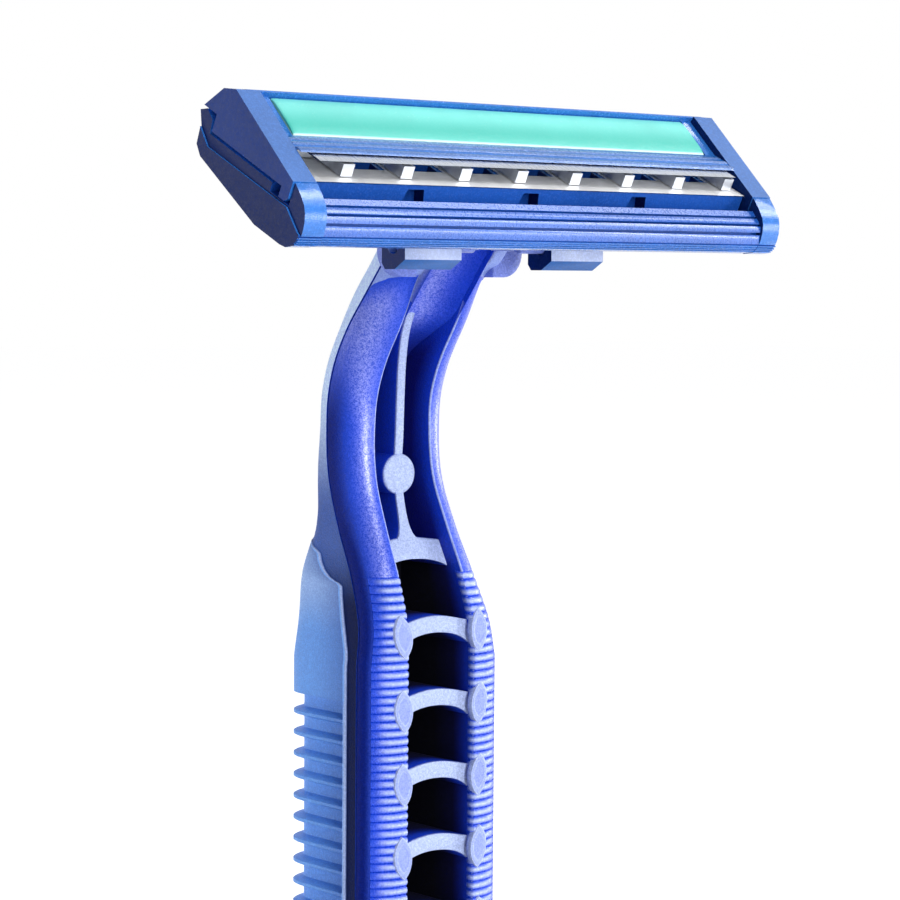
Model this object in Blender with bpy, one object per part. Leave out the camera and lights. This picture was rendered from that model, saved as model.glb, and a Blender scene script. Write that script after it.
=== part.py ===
"""Disposable twin-blade razor with a pivoting head.

Metres, +Z up. The origin is the middle of the flat end of the handle's tail.
+X runs along the blades, -Y is the shaving side and +Z points up the handle to the head.
"""
import math

import bmesh
import bpy
import numpy as np

mm = 0.001
deg = math.radians(1.0)

# Place of the head: the line where the cap meets the guard on the face of the end walls
join_height = 112.0 * mm
join_reach = 15.3 * mm
face_angle = 45.0 * deg
head_length = 42.0 * mm
wall_thickness = 1.8 * mm

# Blades, measured from the lower edge along the blade and square to it
blade_tilt = 19.0 * deg
blade_end_gap = 0.2 * mm
blade_thickness = 0.1 * mm
blade_depth = 6.2 * mm
upper_inset = 0.7 * mm
upper_set_back = 0.75 * mm
edge_depth = 0.36 * mm
edge_ahead = 0.6 * mm
edge_rise = 1.05 * mm
stack_gap = 0.06 * mm
bevel_length = 0.3 * mm

# Spacer comb between the blades and the openings that rinse it
post_pitch_share = 0.1317
post_offset_share = 0.0246
post_count = 8
post_width = 0.9 * mm
window_front = 2.1 * mm
window_depth = 1.4 * mm

# Seam between the cap and the platform
skirt_drop = 0.53 * mm
seam_gap = 0.26 * mm
join_gap = 0.12 * mm
join_set = 0.62 * mm
tongue_length = 0.94 * mm
tongue_drop = 0.72 * mm
slot_length = 2.1 * mm
slot_drop = 0.6 * mm

# Cap
face_span = 7.15 * mm
cap_bevel_run = 1.2 * mm
cap_bevel_drop = 0.44 * mm
cap_back = 8.33 * mm
cap_tip = 9.81 * mm
tip_rise = 0.65 * mm
lip_set_back = 1.4 * mm
lip_face = 0.66 * mm
bar_land = 1.2 * mm
bar_sink = 0.05 * mm
side_sink = 0.5 * mm
cap_skirt = 1.1 * mm
rail_width = 0.16 * mm

# Lubricating strip
strip_end_margin = 1.05 * mm
strip_width = 3.34 * mm
strip_thickness = 0.6 * mm
strip_front_thickness = 0.2 * mm
strip_slope_run = 1.2 * mm
strip_crown = 0.12 * mm
strip_sink = 0.32 * mm
strip_gap = 0.1 * mm

# Stakes of the cap that rivet the stack together
stake_radius = 0.45 * mm
stake_gap = 0.12 * mm
stake_head_radius = 0.8 * mm
stake_head_depth = 0.4 * mm
stake_set_back = 5.0 * mm
posts_per_stake = 2

# Platform
platform_front = 2.6 * mm
platform_back = 10.2 * mm
platform_drop = 3.82 * mm
band_rise = 0.15 * mm
ridge_gap = 0.3 * mm
ridge_low = 0.11 * mm
ridge_high = 0.52 * mm
ridge_side = 0.18 * mm
ridge_lean = 0.12 * mm
ridge_run = 0.8 * mm
wall_proud = 0.03 * mm
side_clear = 0.12 * mm
end_step = 0.12 * mm
seat_set_back = 0.2 * mm
trough_drop = 2.0 * mm
trough_front = 1.0 * mm
rib_gap_width = 0.18 * mm
rib_gap_depth = 0.4 * mm
rib_gap_shares = (0.22, 0.47, 0.72)
fine_gap_width = 0.12 * mm
fine_gap_depth = 0.12 * mm
fine_gap_shares = (0.12, 0.37, 0.62, 0.87)
notch_pitch_share = 0.2333
notch_offset_share = -0.0179
notch_width = 2.2 * mm
notch_top_width = 1.3 * mm
notch_top = 0.42 * mm
notch_run = 1.2 * mm
notch_count = 3
rinse_width = 3.2 * mm

# Pivot: stub pins of the yoke in two open hooks under the platform
pivot_back = 5.4 * mm
pivot_drop = 3.5 * mm
pin_radius = 0.5 * mm
pin_gap = 0.12 * mm
pin_reach = 8.3 * mm
hook_inner = 4.0 * mm
hook_outer = 8.8 * mm
hook_front = 1.2 * mm
hook_back = 1.15 * mm
hook_belly = 1.6 * mm
hook_lip_rise = 0.2 * mm
hook_root = 0.6 * mm
hook_start = 50 * deg
hook_end = 375 * deg
hook_steps = 14
arm_inner = 2.0 * mm
arm_outer = 3.6 * mm
arm_front = 1.0 * mm
arm_below = 0.3 * mm
yoke_drop = 2.6 * mm
ear_reach = 6.1 * mm
ear_inner = 3.4 * mm
ear_front = 2.2 * mm
ear_thickness = 1.0 * mm
ear_height = 3.0 * mm
ear_round = 1.7 * mm
ear_steps = 5

# Return finger that pushes the head forward
finger_width = 2.4 * mm
finger_thickness = 0.5 * mm
finger_tip_radius = 0.2 * mm
finger_root_gap = 0.3 * mm
finger_root_drop = 0.7 * mm
finger_rest_gap = 0.3 * mm
finger_contact = 1.6 * mm
finger_steps = 6

# Handle
grip_width = 12.0 * mm
grip_front = 4.82 * mm
grip_side = 5.15 * mm
grip_back = 3.6 * mm
neck_height = 29.4 * mm
neck_bow = 4.42 * mm
rail_drop = 1.82 * mm
rail_land = 0.12 * mm
line_width = 0.2 * mm
line_depth = 0.25 * mm
channel_half = 3.0 * mm
channel_depth = 1.6 * mm
neck_wall = 1.0 * mm
grip_wall = 2.2 * mm
tail_width = 10.0 * mm
tail_front = 3.4 * mm
tail_side = 3.6 * mm
tail_length = 26.0 * mm
tail_round = 1.6 * mm
tail_round_steps = 3
tail_steps = 5
neck_steps = 26

# Ladder in the handle's front
rung_first = 22.1 * mm
rung_pitch = 5.05 * mm
rung_height = 1.2 * mm
rung_arch = 0.6 * mm
rung_steps = 6
ladder_foot = 16.3 * mm
web_width = 0.7 * mm
web_steps = 10
web_top = 5.4 * mm
disc_radius = 1.42 * mm
disc_drop = 16.7 * mm
disc_steps = 20
pocket_ledge = 0.03 * mm
border_step = 0.08 * mm
pad_width = 1.6 * mm
pad_height = 2.9 * mm
pad_out = 3.38 * mm
pad_proud = 0.1 * mm
pad_depth = 0.62 * mm
pad_steps = 12
pad_point = 0.4

# Large ribs round the back of the grip
rib_first = 33.3 * mm
rib_lead = 1.3 * mm
rib_pitch = 1.5 * mm
rib_foot = 33.6 * mm
rib_depth = 0.75 * mm
rib_tip = 0.3 * mm
rib_root = 0.7 * mm

rod_steps = 12
strip_steps = 8
overrun = 1.0 * mm

# The neck from its top down to the grip. Shares, in order: place along the neck, front edge (of the bow),
# then of the grip's own: rail drop, side, back, half width, channel width, channel depth, and back power
neck_shares = (
    (0.000, -0.74, 1.45, 0.20, 0.36, 0.775, 0.78, 1.62, 0.0),
    (0.066, -0.42, 1.50, 0.19, 0.36, 0.775, 0.78, 1.76, 0.0),
    (0.135, -0.05, 1.56, 0.19, 0.36, 0.770, 0.79, 1.75, 0.0),
    (0.225, 0.42, 1.62, 0.11, 0.36, 0.768, 0.79, 1.34, 0.0),
    (0.300, 0.74, 1.56, 0.10, 0.36, 0.765, 0.79, 0.72, 0.0),
    (0.375, 0.94, 1.46, 0.10, 0.36, 0.763, 0.79, 0.26, 0.0),
    (0.466, 1.00, 1.44, 0.10, 0.37, 0.758, 0.81, 0.16, 0.0),
    (0.578, 0.92, 1.50, 0.20, 0.40, 0.755, 0.84, 0.45, 0.1),
    (0.690, 0.62, 1.54, 0.42, 0.49, 0.778, 0.89, 0.84, 0.35),
    (0.803, 0.27, 1.36, 0.83, 0.75, 0.835, 0.94, 1.00, 0.8),
    (0.915, 0.03, 1.10, 0.96, 0.95, 0.928, 0.98, 1.00, 1.0),
    (1.000, 0.00, 1.00, 1.00, 1.00, 1.000, 1.00, 1.00, 1.0),
)
border_shares = (0.26, 0.31)
rail_steps = 4
back_steps = 4
back_power = 1.0
back_squareness = 0.4

# Outline of the platform below the seam: shares of its reach ahead of the edge or behind it, and of its drop
nose_shares = ((0.55, 0.07), (0.78, 0.18), (0.90, 0.29), (0.97, 0.42), (1.0, 0.55), (1.0, 0.66))
back_shares = ((0.18, 1.0), (0.865, 0.631), (0.932, 0.488), (0.941, 0.215))
guard_shares = ((0.39, 0.18), (0.70, 0.28), (0.86, 0.362), (0.96, 0.546), (1.0, 0.643))
under_shares = ((0.97, 0.76), (0.90, 0.84), (0.81, 0.884), (0.61, 0.966), (0.38, 0.99))
step_shares = ((-0.30, 0.70), (-0.22, 0.63), (-0.06, 0.39), (0.82, 0.41), (0.94, 0.20), (1.1, 0.0))

colours = {
    "blue": (0.075, 0.16, 0.62, 1.0),
    "navy": (0.05, 0.10, 0.42, 1.0),
    "steel": (0.72, 0.73, 0.75, 1.0),
    "aqua": (0.16, 0.80, 0.72, 1.0),
}


def clear_scene():
    """Remove the objects that the file starts with."""
    for thing in list(bpy.data.objects):
        bpy.data.objects.remove(thing, do_unlink=True)


def material(name, colour, roughness, metallic=0.0):
    """A plain Principled material."""
    made = bpy.data.materials.new(name)
    made.use_nodes = True
    shader = made.node_tree.nodes["Principled BSDF"]
    shader.inputs["Base Color"].default_value = colours[colour]
    shader.inputs["Roughness"].default_value = roughness
    shader.inputs["Metallic"].default_value = metallic
    return made


def solid(name, points, faces, finish=None):
    """An object from points and faces, closed and facing out."""
    mesh = bpy.data.meshes.new(name)
    mesh.from_pydata([tuple(point) for point in points], [], faces)
    work = bmesh.new()
    work.from_mesh(mesh)
    bmesh.ops.recalc_face_normals(work, faces=work.faces)
    work.to_mesh(mesh)
    work.free()
    made = bpy.data.objects.new(name, mesh)
    bpy.context.scene.collection.objects.link(made)
    if finish is not None:
        mesh.materials.append(finish)
    return made


def prisms(name, outlines, spans, finish=None):
    """Outlines of (y, z) points, each carried along X over its own span."""
    points = []
    faces = []
    for outline, (low, high) in zip(outlines, spans):
        start = len(points)
        count = len(outline)
        points += [(low, y, z) for y, z in outline]
        points += [(high, y, z) for y, z in outline]
        faces.append(list(range(start, start + count)))
        faces.append(list(range(start + count, start + 2 * count)))
        for index in range(count):
            after = (index + 1) % count
            faces.append([start + index, start + after, start + count + after, start + count + index])
    return solid(name, points, faces, finish)


def both_ends(low, high):
    """The same span on both sides of the middle."""
    return [(low, high), (-high, -low)]


def loft(name, rings, finish=None):
    """Rings of (x, y, z) points joined one to the next, with closed ends."""
    count = len(rings[0])
    points = [point for ring in rings for point in ring]
    faces = [list(range(count))]
    for level in range(len(rings) - 1):
        base = level * count
        for index in range(count):
            after = (index + 1) % count
            faces.append([base + index, base + after, base + count + after, base + count + index])
    faces.append(list(range(len(points) - count, len(points))))
    return solid(name, points, faces, finish)


def group_of(name, parts):
    """Several closed bodies that don't touch, as one cutter or one addition."""
    points = []
    faces = []
    for part in parts:
        start = len(points)
        points += [tuple(vertex.co) for vertex in part.data.vertices]
        faces += [[start + index for index in face.vertices] for face in part.data.polygons]
        bpy.data.objects.remove(part, do_unlink=True)
    return solid(name, points, faces)


def combine(target, tool, operation):
    """Cut, join or trim a piece with a tool that isn't shown itself."""
    tool.hide_render = True
    tool.display_type = "WIRE"
    change = target.modifiers.new(tool.name, "BOOLEAN")
    change.operation = operation
    change.solver = "EXACT"
    change.object = tool


def smooth_shade(piece, angle):
    """Round parts shaded smooth, with the edges above an angle kept sharp."""
    piece.data.shade_smooth()
    piece.data.set_sharp_from_angle(angle=angle)


def face_place(along, out):
    """(y, z) of a point on the shaving face: along it from the join, and out from it."""
    y = -join_reach + along * math.cos(face_angle) - out * math.sin(face_angle)
    z = join_height + along * math.sin(face_angle) + out * math.cos(face_angle)
    return y, z


def blade_place(back, up):
    """(y, z) of a point given back along the blades from the lower edge, and up from its top side."""
    along = edge_ahead + back * math.cos(blade_tilt) + up * math.sin(blade_tilt)
    out = -edge_depth - back * math.sin(blade_tilt) + up * math.cos(blade_tilt)
    return face_place(along, out)


def face_level(back):
    """Height of the walls' shaving face above the lower blade, at a place along the blade."""
    return (edge_depth + back * math.sin(blade_tilt)) / math.cos(blade_tilt)


def slab(back_low, back_high, low, high):
    """A rectangle set parallel to the blades."""
    corners = ((back_low, low), (back_high, low), (back_high, high), (back_low, high))
    return [blade_place(back, up) for back, up in corners]


def smooth_value(table, column, place):
    """Cubic curve through one column of a table whose first column is the place."""
    places = np.array([row[0] for row in table])
    values = np.array([row[column] for row in table])
    slopes = np.gradient(values, places)
    index = int(np.clip(np.searchsorted(places, place, side="right") - 1, 0, len(places) - 2))
    span = places[index + 1] - places[index]
    t = (place - places[index]) / span
    start = (1 + 2 * t) * (1 - t) ** 2 * values[index] + t * (1 - t) ** 2 * span * slopes[index]
    end = t * t * (3 - 2 * t) * values[index + 1] - t * t * (1 - t) * span * slopes[index + 1]
    return float(start + end)


def groove_slots(line, shares, width, depth):
    """Rectangles that cut grooves square into a line of points, at shares of its length."""
    line = np.array(line)
    steps = np.linalg.norm(np.diff(line, axis=0), axis=1)
    reach = np.concatenate(([0.0], np.cumsum(steps)))
    slots = []
    for share in shares:
        middle = reach[-1] * share
        low, high = [
            np.array([np.interp(middle + side * width, reach, line[:, axis]) for axis in range(2)])
            for side in (-1, 1)
        ]
        centre = np.array([np.interp(middle, reach, line[:, axis]) for axis in range(2)])
        run = (high - low) / np.linalg.norm(high - low) * width / 2
        inward = np.array([-run[1], run[0]]) / (width / 2) * depth
        corners = [centre - run - inward, centre + run - inward, centre + run + inward, centre - run + inward]
        slots.append([blade_place(*corner) for corner in corners])
    return slots


def cylinder(name, radius, low, high, steps=rod_steps):
    """A cylinder between two points."""
    low = np.array(low)
    high = np.array(high)
    axis = (high - low) / np.linalg.norm(high - low)
    side = np.cross(axis, np.array([1.0, 0.0, 0.0]) if abs(axis[0]) < 0.5 else np.array([0.0, 1.0, 0.0]))
    side /= np.linalg.norm(side)
    other = np.cross(axis, side)
    turns = [2 * math.pi * index / steps for index in range(steps)]
    ring = [radius * (math.cos(turn) * side + math.sin(turn) * other) for turn in turns]
    return loft(name, [[tuple(end + point) for point in ring] for end in (low, high)])


def post_places():
    """X of the middle of each post of the spacer."""
    return [post_offset + (index - (post_count - 1) / 2) * post_pitch for index in range(post_count)]


def gap_places():
    """X of the middle of each opening between two posts."""
    return [(low + high) / 2 for low, high in zip(post_places()[:-1], post_places()[1:])]


def stake_places():
    """X of each stake, each in line with a post."""
    return post_places()[::posts_per_stake]


blade_length = head_length - 2 * (wall_thickness + blade_end_gap)
upper_length = blade_length - 2 * upper_inset
strip_length = head_length - 2 * (wall_thickness + strip_end_margin)
post_pitch = post_pitch_share * upper_length
post_offset = post_offset_share * upper_length
notch_pitch = notch_pitch_share * head_length
notch_offset = notch_offset_share * head_length
spacer_thickness = edge_rise - blade_thickness - 2 * stack_gap
stack_back = upper_set_back + blade_depth
cap_floor = edge_rise + stack_gap
seat_level = -blade_thickness - stack_gap
skirt_level = -skirt_drop
seam_level = skirt_level - seam_gap
pivot_y = -join_reach + pivot_back
pivot_z = join_height - pivot_drop
handle_top = join_height - yoke_drop
grip_top = handle_top - neck_height
rung_count = int((handle_top - rung_first - ladder_foot) / rung_pitch)
rib_count = int((handle_top - rib_first - rib_foot) / rib_pitch) + 1


def stakes(radius, low, high):
    """Rods square to the blades at each stake's place."""
    rods = []
    for index, x in enumerate(stake_places()):
        ends = [(x, *blade_place(stake_set_back, level)) for level in (low, high)]
        rods.append(cylinder("rod_%d" % index, radius, *ends))
    return rods


def stake_foot():
    """Level of the platform's back face where the stakes come through."""
    low, high = [np.array(share) * (platform_back, -platform_drop) for share in back_shares[:2]]
    return float(np.interp(stake_set_back, (low[0], high[0]), (low[1], high[1])))


def make_lower_blade(finish):
    """Seat blade: a thin strip ground to an edge, with rinse openings behind it."""
    edge = [(0, 0), (bevel_length, -blade_thickness), (blade_depth, -blade_thickness), (blade_depth, 0)]
    half = blade_length / 2
    blade = prisms("lower_blade", [[blade_place(*point) for point in edge]], [(-half, half)], finish)
    clear = (post_pitch - post_width) / 2 - stack_gap
    opening = slab(window_front, window_front + window_depth, -overrun, overrun)
    spans = [(x - clear, x + clear) for x in gap_places()]
    combine(blade, prisms("lower_blade_openings", [opening] * len(spans), spans), "DIFFERENCE")
    holes = group_of("lower_blade_holes", stakes(stake_radius + stake_gap, -overrun, overrun))
    combine(blade, holes, "DIFFERENCE")
    return blade


def make_upper_blade(finish):
    """Cap blade: a plain strip set back above the lower one."""
    top = edge_rise
    low = edge_rise - blade_thickness
    front = upper_set_back
    edge = [(front, top), (front + bevel_length, low), (stack_back, low), (stack_back, top)]
    half = upper_length / 2
    blade = prisms("upper_blade", [[blade_place(*point) for point in edge]], [(-half, half)], finish)
    holes = group_of("upper_blade_holes", stakes(stake_radius + stake_gap, 0, 2 * edge_rise))
    combine(blade, holes, "DIFFERENCE")
    return blade


def make_spacer(finish):
    """Comb that holds the blades apart: a back bar with a finger at each post."""
    low = stack_gap
    high = stack_gap + spacer_thickness
    half = upper_length / 2
    bar_front = window_front + window_depth
    outline = [(-half, stack_back), (-half, bar_front)]
    for x in post_places():
        left = x - post_width / 2
        right = x + post_width / 2
        outline += [(left, bar_front), (left, upper_set_back), (right, upper_set_back), (right, bar_front)]
    outline += [(half, bar_front), (half, stack_back)]
    rings = [[(x, *blade_place(back, up)) for x, back in outline] for up in (low, high)]
    spacer = loft("spacer", rings, finish)
    holes = group_of("spacer_holes", stakes(stake_radius + stake_gap, -overrun, 2 * edge_rise))
    combine(spacer, holes, "DIFFERENCE")
    return spacer


def cap_top(inset):
    """Cap's outer side from the face's back end down to the seam's step, drawn in by inset in the middle."""
    face_end = face_level(face_span)
    bevel_end = (face_span + cap_bevel_run - inset, face_end - cap_bevel_drop - inset)
    under = tip_rise + inset
    step = [(cap_back - inset, under), (cap_back - inset, skirt_level + inset)]
    return [bevel_end, (cap_tip - inset, under)] + step


def strip_place(along, out):
    """A point of the strip's bed, along the face from the strip's front edge."""
    front = blade_place(lip_back(), cap_floor)
    lip_along, lip_out = to_face(front)
    return face_place(lip_along + lip_face + bar_land + along, out)


def to_face(place):
    """Along and out of a (y, z) point on the shaving face."""
    y = place[0] + join_reach
    z = place[1] - join_height
    along = y * math.cos(face_angle) + z * math.sin(face_angle)
    out = z * math.cos(face_angle) - y * math.sin(face_angle)
    return along, out


def lip_back():
    """Place of the cap's front lip along the blades."""
    return upper_set_back + lip_set_back


def make_cap(finish):
    """Cap: front bar, bed for the strip, rear rail, and two end walls with a tongue each."""
    bed = -strip_sink - strip_thickness - strip_gap / 2
    bed_front = -strip_sink - strip_front_thickness - strip_gap / 2
    lip = blade_place(lip_back(), cap_floor)
    lip_along, lip_out = to_face(lip)
    bar_top = -bar_sink
    edge = -strip_sink - strip_crown
    outline = [lip, face_place(lip_along + lip_face, bar_top)]
    outline += [strip_place(-strip_gap, edge), strip_place(-strip_gap, bed_front)]
    outline += [strip_place(strip_slope_run, bed)]
    far = strip_width + strip_gap
    outline += [strip_place(far, bed), strip_place(far, -2 * bar_sink)]
    outline += [strip_place(strip_width + strip_gap + rail_width, -2 * bar_sink)]
    outline += [blade_place(*point) for point in cap_top(wall_proud)]
    skirt_front = cap_back - cap_skirt
    outline += [blade_place(skirt_front, skirt_level + wall_proud), blade_place(skirt_front, cap_floor)]
    inner = head_length / 2 - wall_thickness
    half = inner + wall_thickness / 2
    cap = prisms("cap", [outline], [(-half, half)], finish)

    strip_half = strip_length / 2 + strip_gap
    fill = [strip_place(-2 * strip_gap, bed_front - wall_proud)]
    fill += [strip_place(strip_slope_run, bed - strip_gap)]
    fill += [strip_place(strip_width + 2 * strip_gap, bed - strip_gap)]
    fill += [strip_place(strip_width + 2 * strip_gap, -side_sink), strip_place(-2 * strip_gap, -side_sink)]
    side_ribs = prisms("cap_side_ribs", [fill] * 2, both_ends(strip_half, inner + wall_thickness / 3))
    combine(cap, side_ribs, "UNION")

    front = -join_set + join_gap / 2
    wall = [(front, face_level(front)), (face_span, face_level(face_span))] + cap_top(0)
    tongue_back = front + tongue_length
    tongue_low = skirt_level - tongue_drop
    tongue_corner = tongue_length / 3
    wall += [(tongue_back, skirt_level), (tongue_back, tongue_low), (front + tongue_corner, tongue_low)]
    wall += [(front, tongue_low + tongue_corner)]
    wall = [blade_place(*point) for point in wall]
    ends = prisms("cap_walls", [wall] * 2, both_ends(inner, head_length / 2))
    combine(cap, ends, "UNION")

    foot = stake_foot() + stake_head_depth / 2
    shanks = group_of("cap_stakes", stakes(stake_radius, foot, cap_floor + stack_gap))
    combine(cap, shanks, "UNION")
    heads = stakes(stake_head_radius, foot - stake_head_depth / 2, foot + stake_head_depth / 2)
    combine(cap, group_of("cap_stake_heads", heads), "UNION")
    return cap


def make_strip(finish):
    """Lubricating strip: a bar with a low crown and softened edges."""
    half = strip_length / 2
    base = -strip_sink - strip_thickness
    outline = [strip_place(strip_slope_run, base), strip_place(0, -strip_sink - strip_front_thickness)]
    for index in range(strip_steps + 1):
        share = index / strip_steps
        crown = strip_crown * (1 - (2 * share - 1) ** 4)
        outline.append(strip_place(share * strip_width, -strip_sink - strip_crown + crown))
    outline.append(strip_place(strip_width, base))
    return prisms("lubricating_strip", [outline], [(-half, half)], finish)


def scaled(shares, reach, inset=0.0):
    """Outline points of the platform from their shares, drawn in by inset."""
    reach -= math.copysign(inset, reach)
    return [(share * reach, -drop * (platform_drop - inset)) for share, drop in shares]


def platform_ridge(inset):
    """Ridge at the platform's back that closes the cap's step, from the back face up and over."""
    front = cap_back + ridge_gap + inset + ridge_lean
    peak = (front + ridge_run, ridge_high - inset)
    return [(platform_back - inset, ridge_side), peak, (front, ridge_low)]


def make_platform(finish):
    """Platform: guard bar with ribs, trough, blade seat, end walls, ridge and the two hooks."""
    inner = head_length / 2 - wall_thickness
    seat_back = stack_back + stack_gap
    seat = [(seat_set_back, seat_level), (seat_back, seat_level), (seat_back, seam_level - wall_proud)]
    seat += [(cap_back + ridge_gap + wall_proud, seam_level - wall_proud)]
    trough = [(-trough_front, -trough_drop), (seat_set_back, -trough_drop)]
    guard = scaled(guard_shares + under_shares, -platform_front, wall_proud)
    lower = scaled(back_shares, platform_back, wall_proud) + platform_ridge(wall_proud)
    outline = trough[:1] + guard + lower + seat[::-1] + trough[1:]
    half = inner + wall_thickness / 2
    platform = prisms("platform", [[blade_place(*point) for point in outline]], [(-half, half)], finish)

    join = -join_set - join_gap / 2
    slot_low = seam_level - slot_drop
    slot_back = join + slot_length
    room = [(join, slot_low - wall_proud), (slot_back + wall_proud, slot_low - wall_proud)]
    under = seam_level - wall_proud
    room += [(slot_back + wall_proud, under), (cap_back + ridge_gap, under)]
    room += [(cap_back + ridge_gap, platform_drop), (join, platform_drop)]
    room = [blade_place(*point) for point in room]
    spans = both_ends(inner - side_clear, head_length)
    combine(platform, prisms("wall_room", [room] * 2, spans), "DIFFERENCE")
    lower = scaled(back_shares, platform_back) + platform_ridge(0)
    nose = scaled(nose_shares + under_shares, -platform_front)
    wall = [(join, band_rise)] + nose + lower
    wall += [(cap_back + ridge_gap, seam_level), (slot_back, seam_level)]
    wall += [(slot_back, slot_low), (join, slot_low)]
    wall = [blade_place(*point) for point in wall]
    ends = prisms("platform_walls", [wall] * 2, both_ends(inner, head_length / 2))
    combine(platform, ends, "UNION")

    ribs = groove_slots(scaled(guard_shares, -platform_front), rib_gap_shares, rib_gap_width, rib_gap_depth)
    combine(platform, prisms("guard_gaps", ribs, [(-inner, inner)] * len(ribs)), "DIFFERENCE")
    fine_line = scaled(guard_shares[-1:] + under_shares[:2], -platform_front)
    fine = groove_slots(fine_line, fine_gap_shares, fine_gap_width, fine_gap_depth)
    combine(platform, prisms("fine_gaps", fine, [(-head_length, head_length)] * len(fine)), "DIFFERENCE")
    line = [(back * platform_back, -drop * platform_drop) for back, drop in step_shares]
    line += [(platform_back + overrun, platform_drop), (-platform_front - overrun, platform_drop)]
    step = [blade_place(*point) for point in line]
    outer = both_ends(head_length / 2 - end_step, head_length)
    combine(platform, prisms("end_step", [step] * 2, outer), "DIFFERENCE")

    clear = (post_pitch - post_width) / 2
    well = slab(window_front, window_front + window_depth, -2 * platform_drop, overrun)
    rinse_spans = [(x - rinse_width / 2, x + rinse_width / 2) for x in gap_places()]
    combine(platform, prisms("rinse_windows", [well] * len(rinse_spans), rinse_spans), "DIFFERENCE")
    ports = []
    for index in range(notch_count):
        x = notch_offset + (index - (notch_count - 1) / 2) * notch_pitch
        wide = notch_width / 2
        narrow = notch_top_width / 2
        corners = [(x - wide, -trough_drop), (x + wide, -trough_drop)]
        corners += [(x + narrow, -notch_top), (x - narrow, -notch_top)]
        rings = [[(px, *blade_place(back, up)) for px, up in corners] for back in (-seat_set_back, notch_run)]
        ports.append(loft("port_%d" % index, rings))
    combine(platform, group_of("rinse_ports", ports), "DIFFERENCE")

    holes = group_of("platform_holes", stakes(stake_radius + stake_gap, -2 * platform_drop, overrun))
    combine(platform, holes, "DIFFERENCE")
    head_clear = stake_head_depth + stake_gap
    sinks = stakes(stake_head_radius + stake_gap, stake_foot() - overrun, stake_foot() + head_clear)
    combine(platform, group_of("platform_sinks", sinks), "DIFFERENCE")

    combine(platform, make_hooks(), "UNION")
    return platform


def make_hooks():
    """Open hooks under the platform: a wall, a belly and a lip round each stub pin."""
    bore = pin_radius + pin_gap
    root = join_height
    outline = [(pivot_y + hook_root, root - pivot_drop / 2)]
    for index in range(hook_steps + 1):
        turn = hook_start + (hook_end - hook_start) * index / hook_steps
        outline.append((pivot_y + bore * math.cos(turn), pivot_z + bore * math.sin(turn)))
    outline += [(pivot_y + hook_back, pivot_z + hook_lip_rise)]
    outline += [(pivot_y + hook_back, pivot_z - hook_front)]
    outline += [(pivot_y + hook_back - bore / 2, pivot_z - hook_belly)]
    outline += [(pivot_y - bore / 4, pivot_z - hook_belly)]
    outline += [(pivot_y - hook_front, pivot_z - hook_belly + bore)]
    outline += [(pivot_y - hook_front, root - pivot_drop / 2)]
    return prisms("platform_hooks", [outline] * 2, both_ends(hook_inner, hook_outer))


def grip_sizes(z):
    """Front, rail drop, side, back, half width, channel half width and depth, and back power at a height."""
    place = (handle_top - z) / neck_height
    if place < 1.0:
        row = [smooth_value(neck_shares, column, place) for column in range(1, 9)]
    else:
        row = [0.0] + [1.0] * 7
    front = -grip_front + row[0] * neck_bow
    side = row[2] * grip_side
    half = row[4] * grip_width / 2
    taper = max(0.0, 1.0 - z / tail_length)
    taper = taper * taper * (3 - 2 * taper)
    front += taper * (grip_front - tail_front)
    side -= taper * (grip_side - tail_side)
    half -= taper * (grip_width - tail_width) / 2
    square = back_power - back_squareness * row[7]
    channel = row[5] * channel_half
    depth = row[6] * channel_depth
    return front, row[1] * rail_drop, side, row[3] * grip_back, half, channel, depth, square


def handle_ring(z, inset, shrink):
    """One level of the handle: land, rounded rail, side and back, drawn in by inset behind the border."""
    front, drop, side, back, half, channel, _, square = grip_sizes(z)
    land = channel + rail_land
    edge = front + drop
    right = [(land, front)]
    for index in range(1, rail_steps + 1):
        turn = math.pi / 2 * index / rail_steps
        right.append((land + (half - land) * math.sin(turn), front + drop * (1 - math.cos(turn))))
    groove = min(line_depth, side)
    right += [(half - groove, edge + line_width / 4), (half - groove, edge + line_width * 3 / 4)]
    right.append((half, edge + line_width))
    edge += line_width
    right.append((half, edge + side * border_shares[0]))
    right.append((half - inset, edge + side * border_shares[1]))
    right.append((half - inset, edge + side))
    for index in range(1, back_steps + 1):
        turn = math.pi / 2 * index / back_steps
        x = (half - inset) * max(0.0, math.cos(turn)) ** square
        y = edge + side + (back - inset) * math.sin(turn) ** square
        right.append((x if index < back_steps else 0.0, y))
    ring = right + [(-x, y) for x, y in right[-2::-1]]
    if shrink:
        middle = (front + edge + side + back) / 2
        reach_x = 1 - shrink / half
        reach_y = 1 - shrink / ((edge + side + back - front) / 2)
        ring = [(x * reach_x, middle + (y - middle) * reach_y) for x, y in ring]
    return [(x, y, z) for x, y in ring]


def tail_levels():
    """Rounded end of the tail and the plain length above it."""
    rows = []
    for index in range(tail_round_steps + 1):
        turn = math.pi / 2 * index / tail_round_steps
        rows.append((tail_round * (1 - math.cos(turn)), 0.0, tail_round * (1 - math.sin(turn))))
    for index in range(1, tail_steps + 1):
        rows.append((tail_round + (tail_length - tail_round) * index / tail_steps, 0.0, 0.0))
    return rows


def rib_levels():
    """The large ribs of the grip: root, tip, tip, root for each."""
    rows = []
    first = handle_top - rib_first
    for index in range(rib_count):
        z = first - index * rib_pitch
        rows += [(z - rib_root / 2, rib_depth, 0.0), (z - rib_tip / 2, 0.0, 0.0)]
        rows += [(z + rib_tip / 2, 0.0, 0.0), (z + rib_root / 2, rib_depth, 0.0)]
    top = first + rib_lead
    bottom = first - (rib_count - 1) * rib_pitch - rib_lead
    rows += [(top, rib_depth, 0.0), (top + border_step, 0.0, 0.0)]
    rows += [(bottom, rib_depth, 0.0), (bottom - border_step, 0.0, 0.0)]
    return rows, bottom


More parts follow.
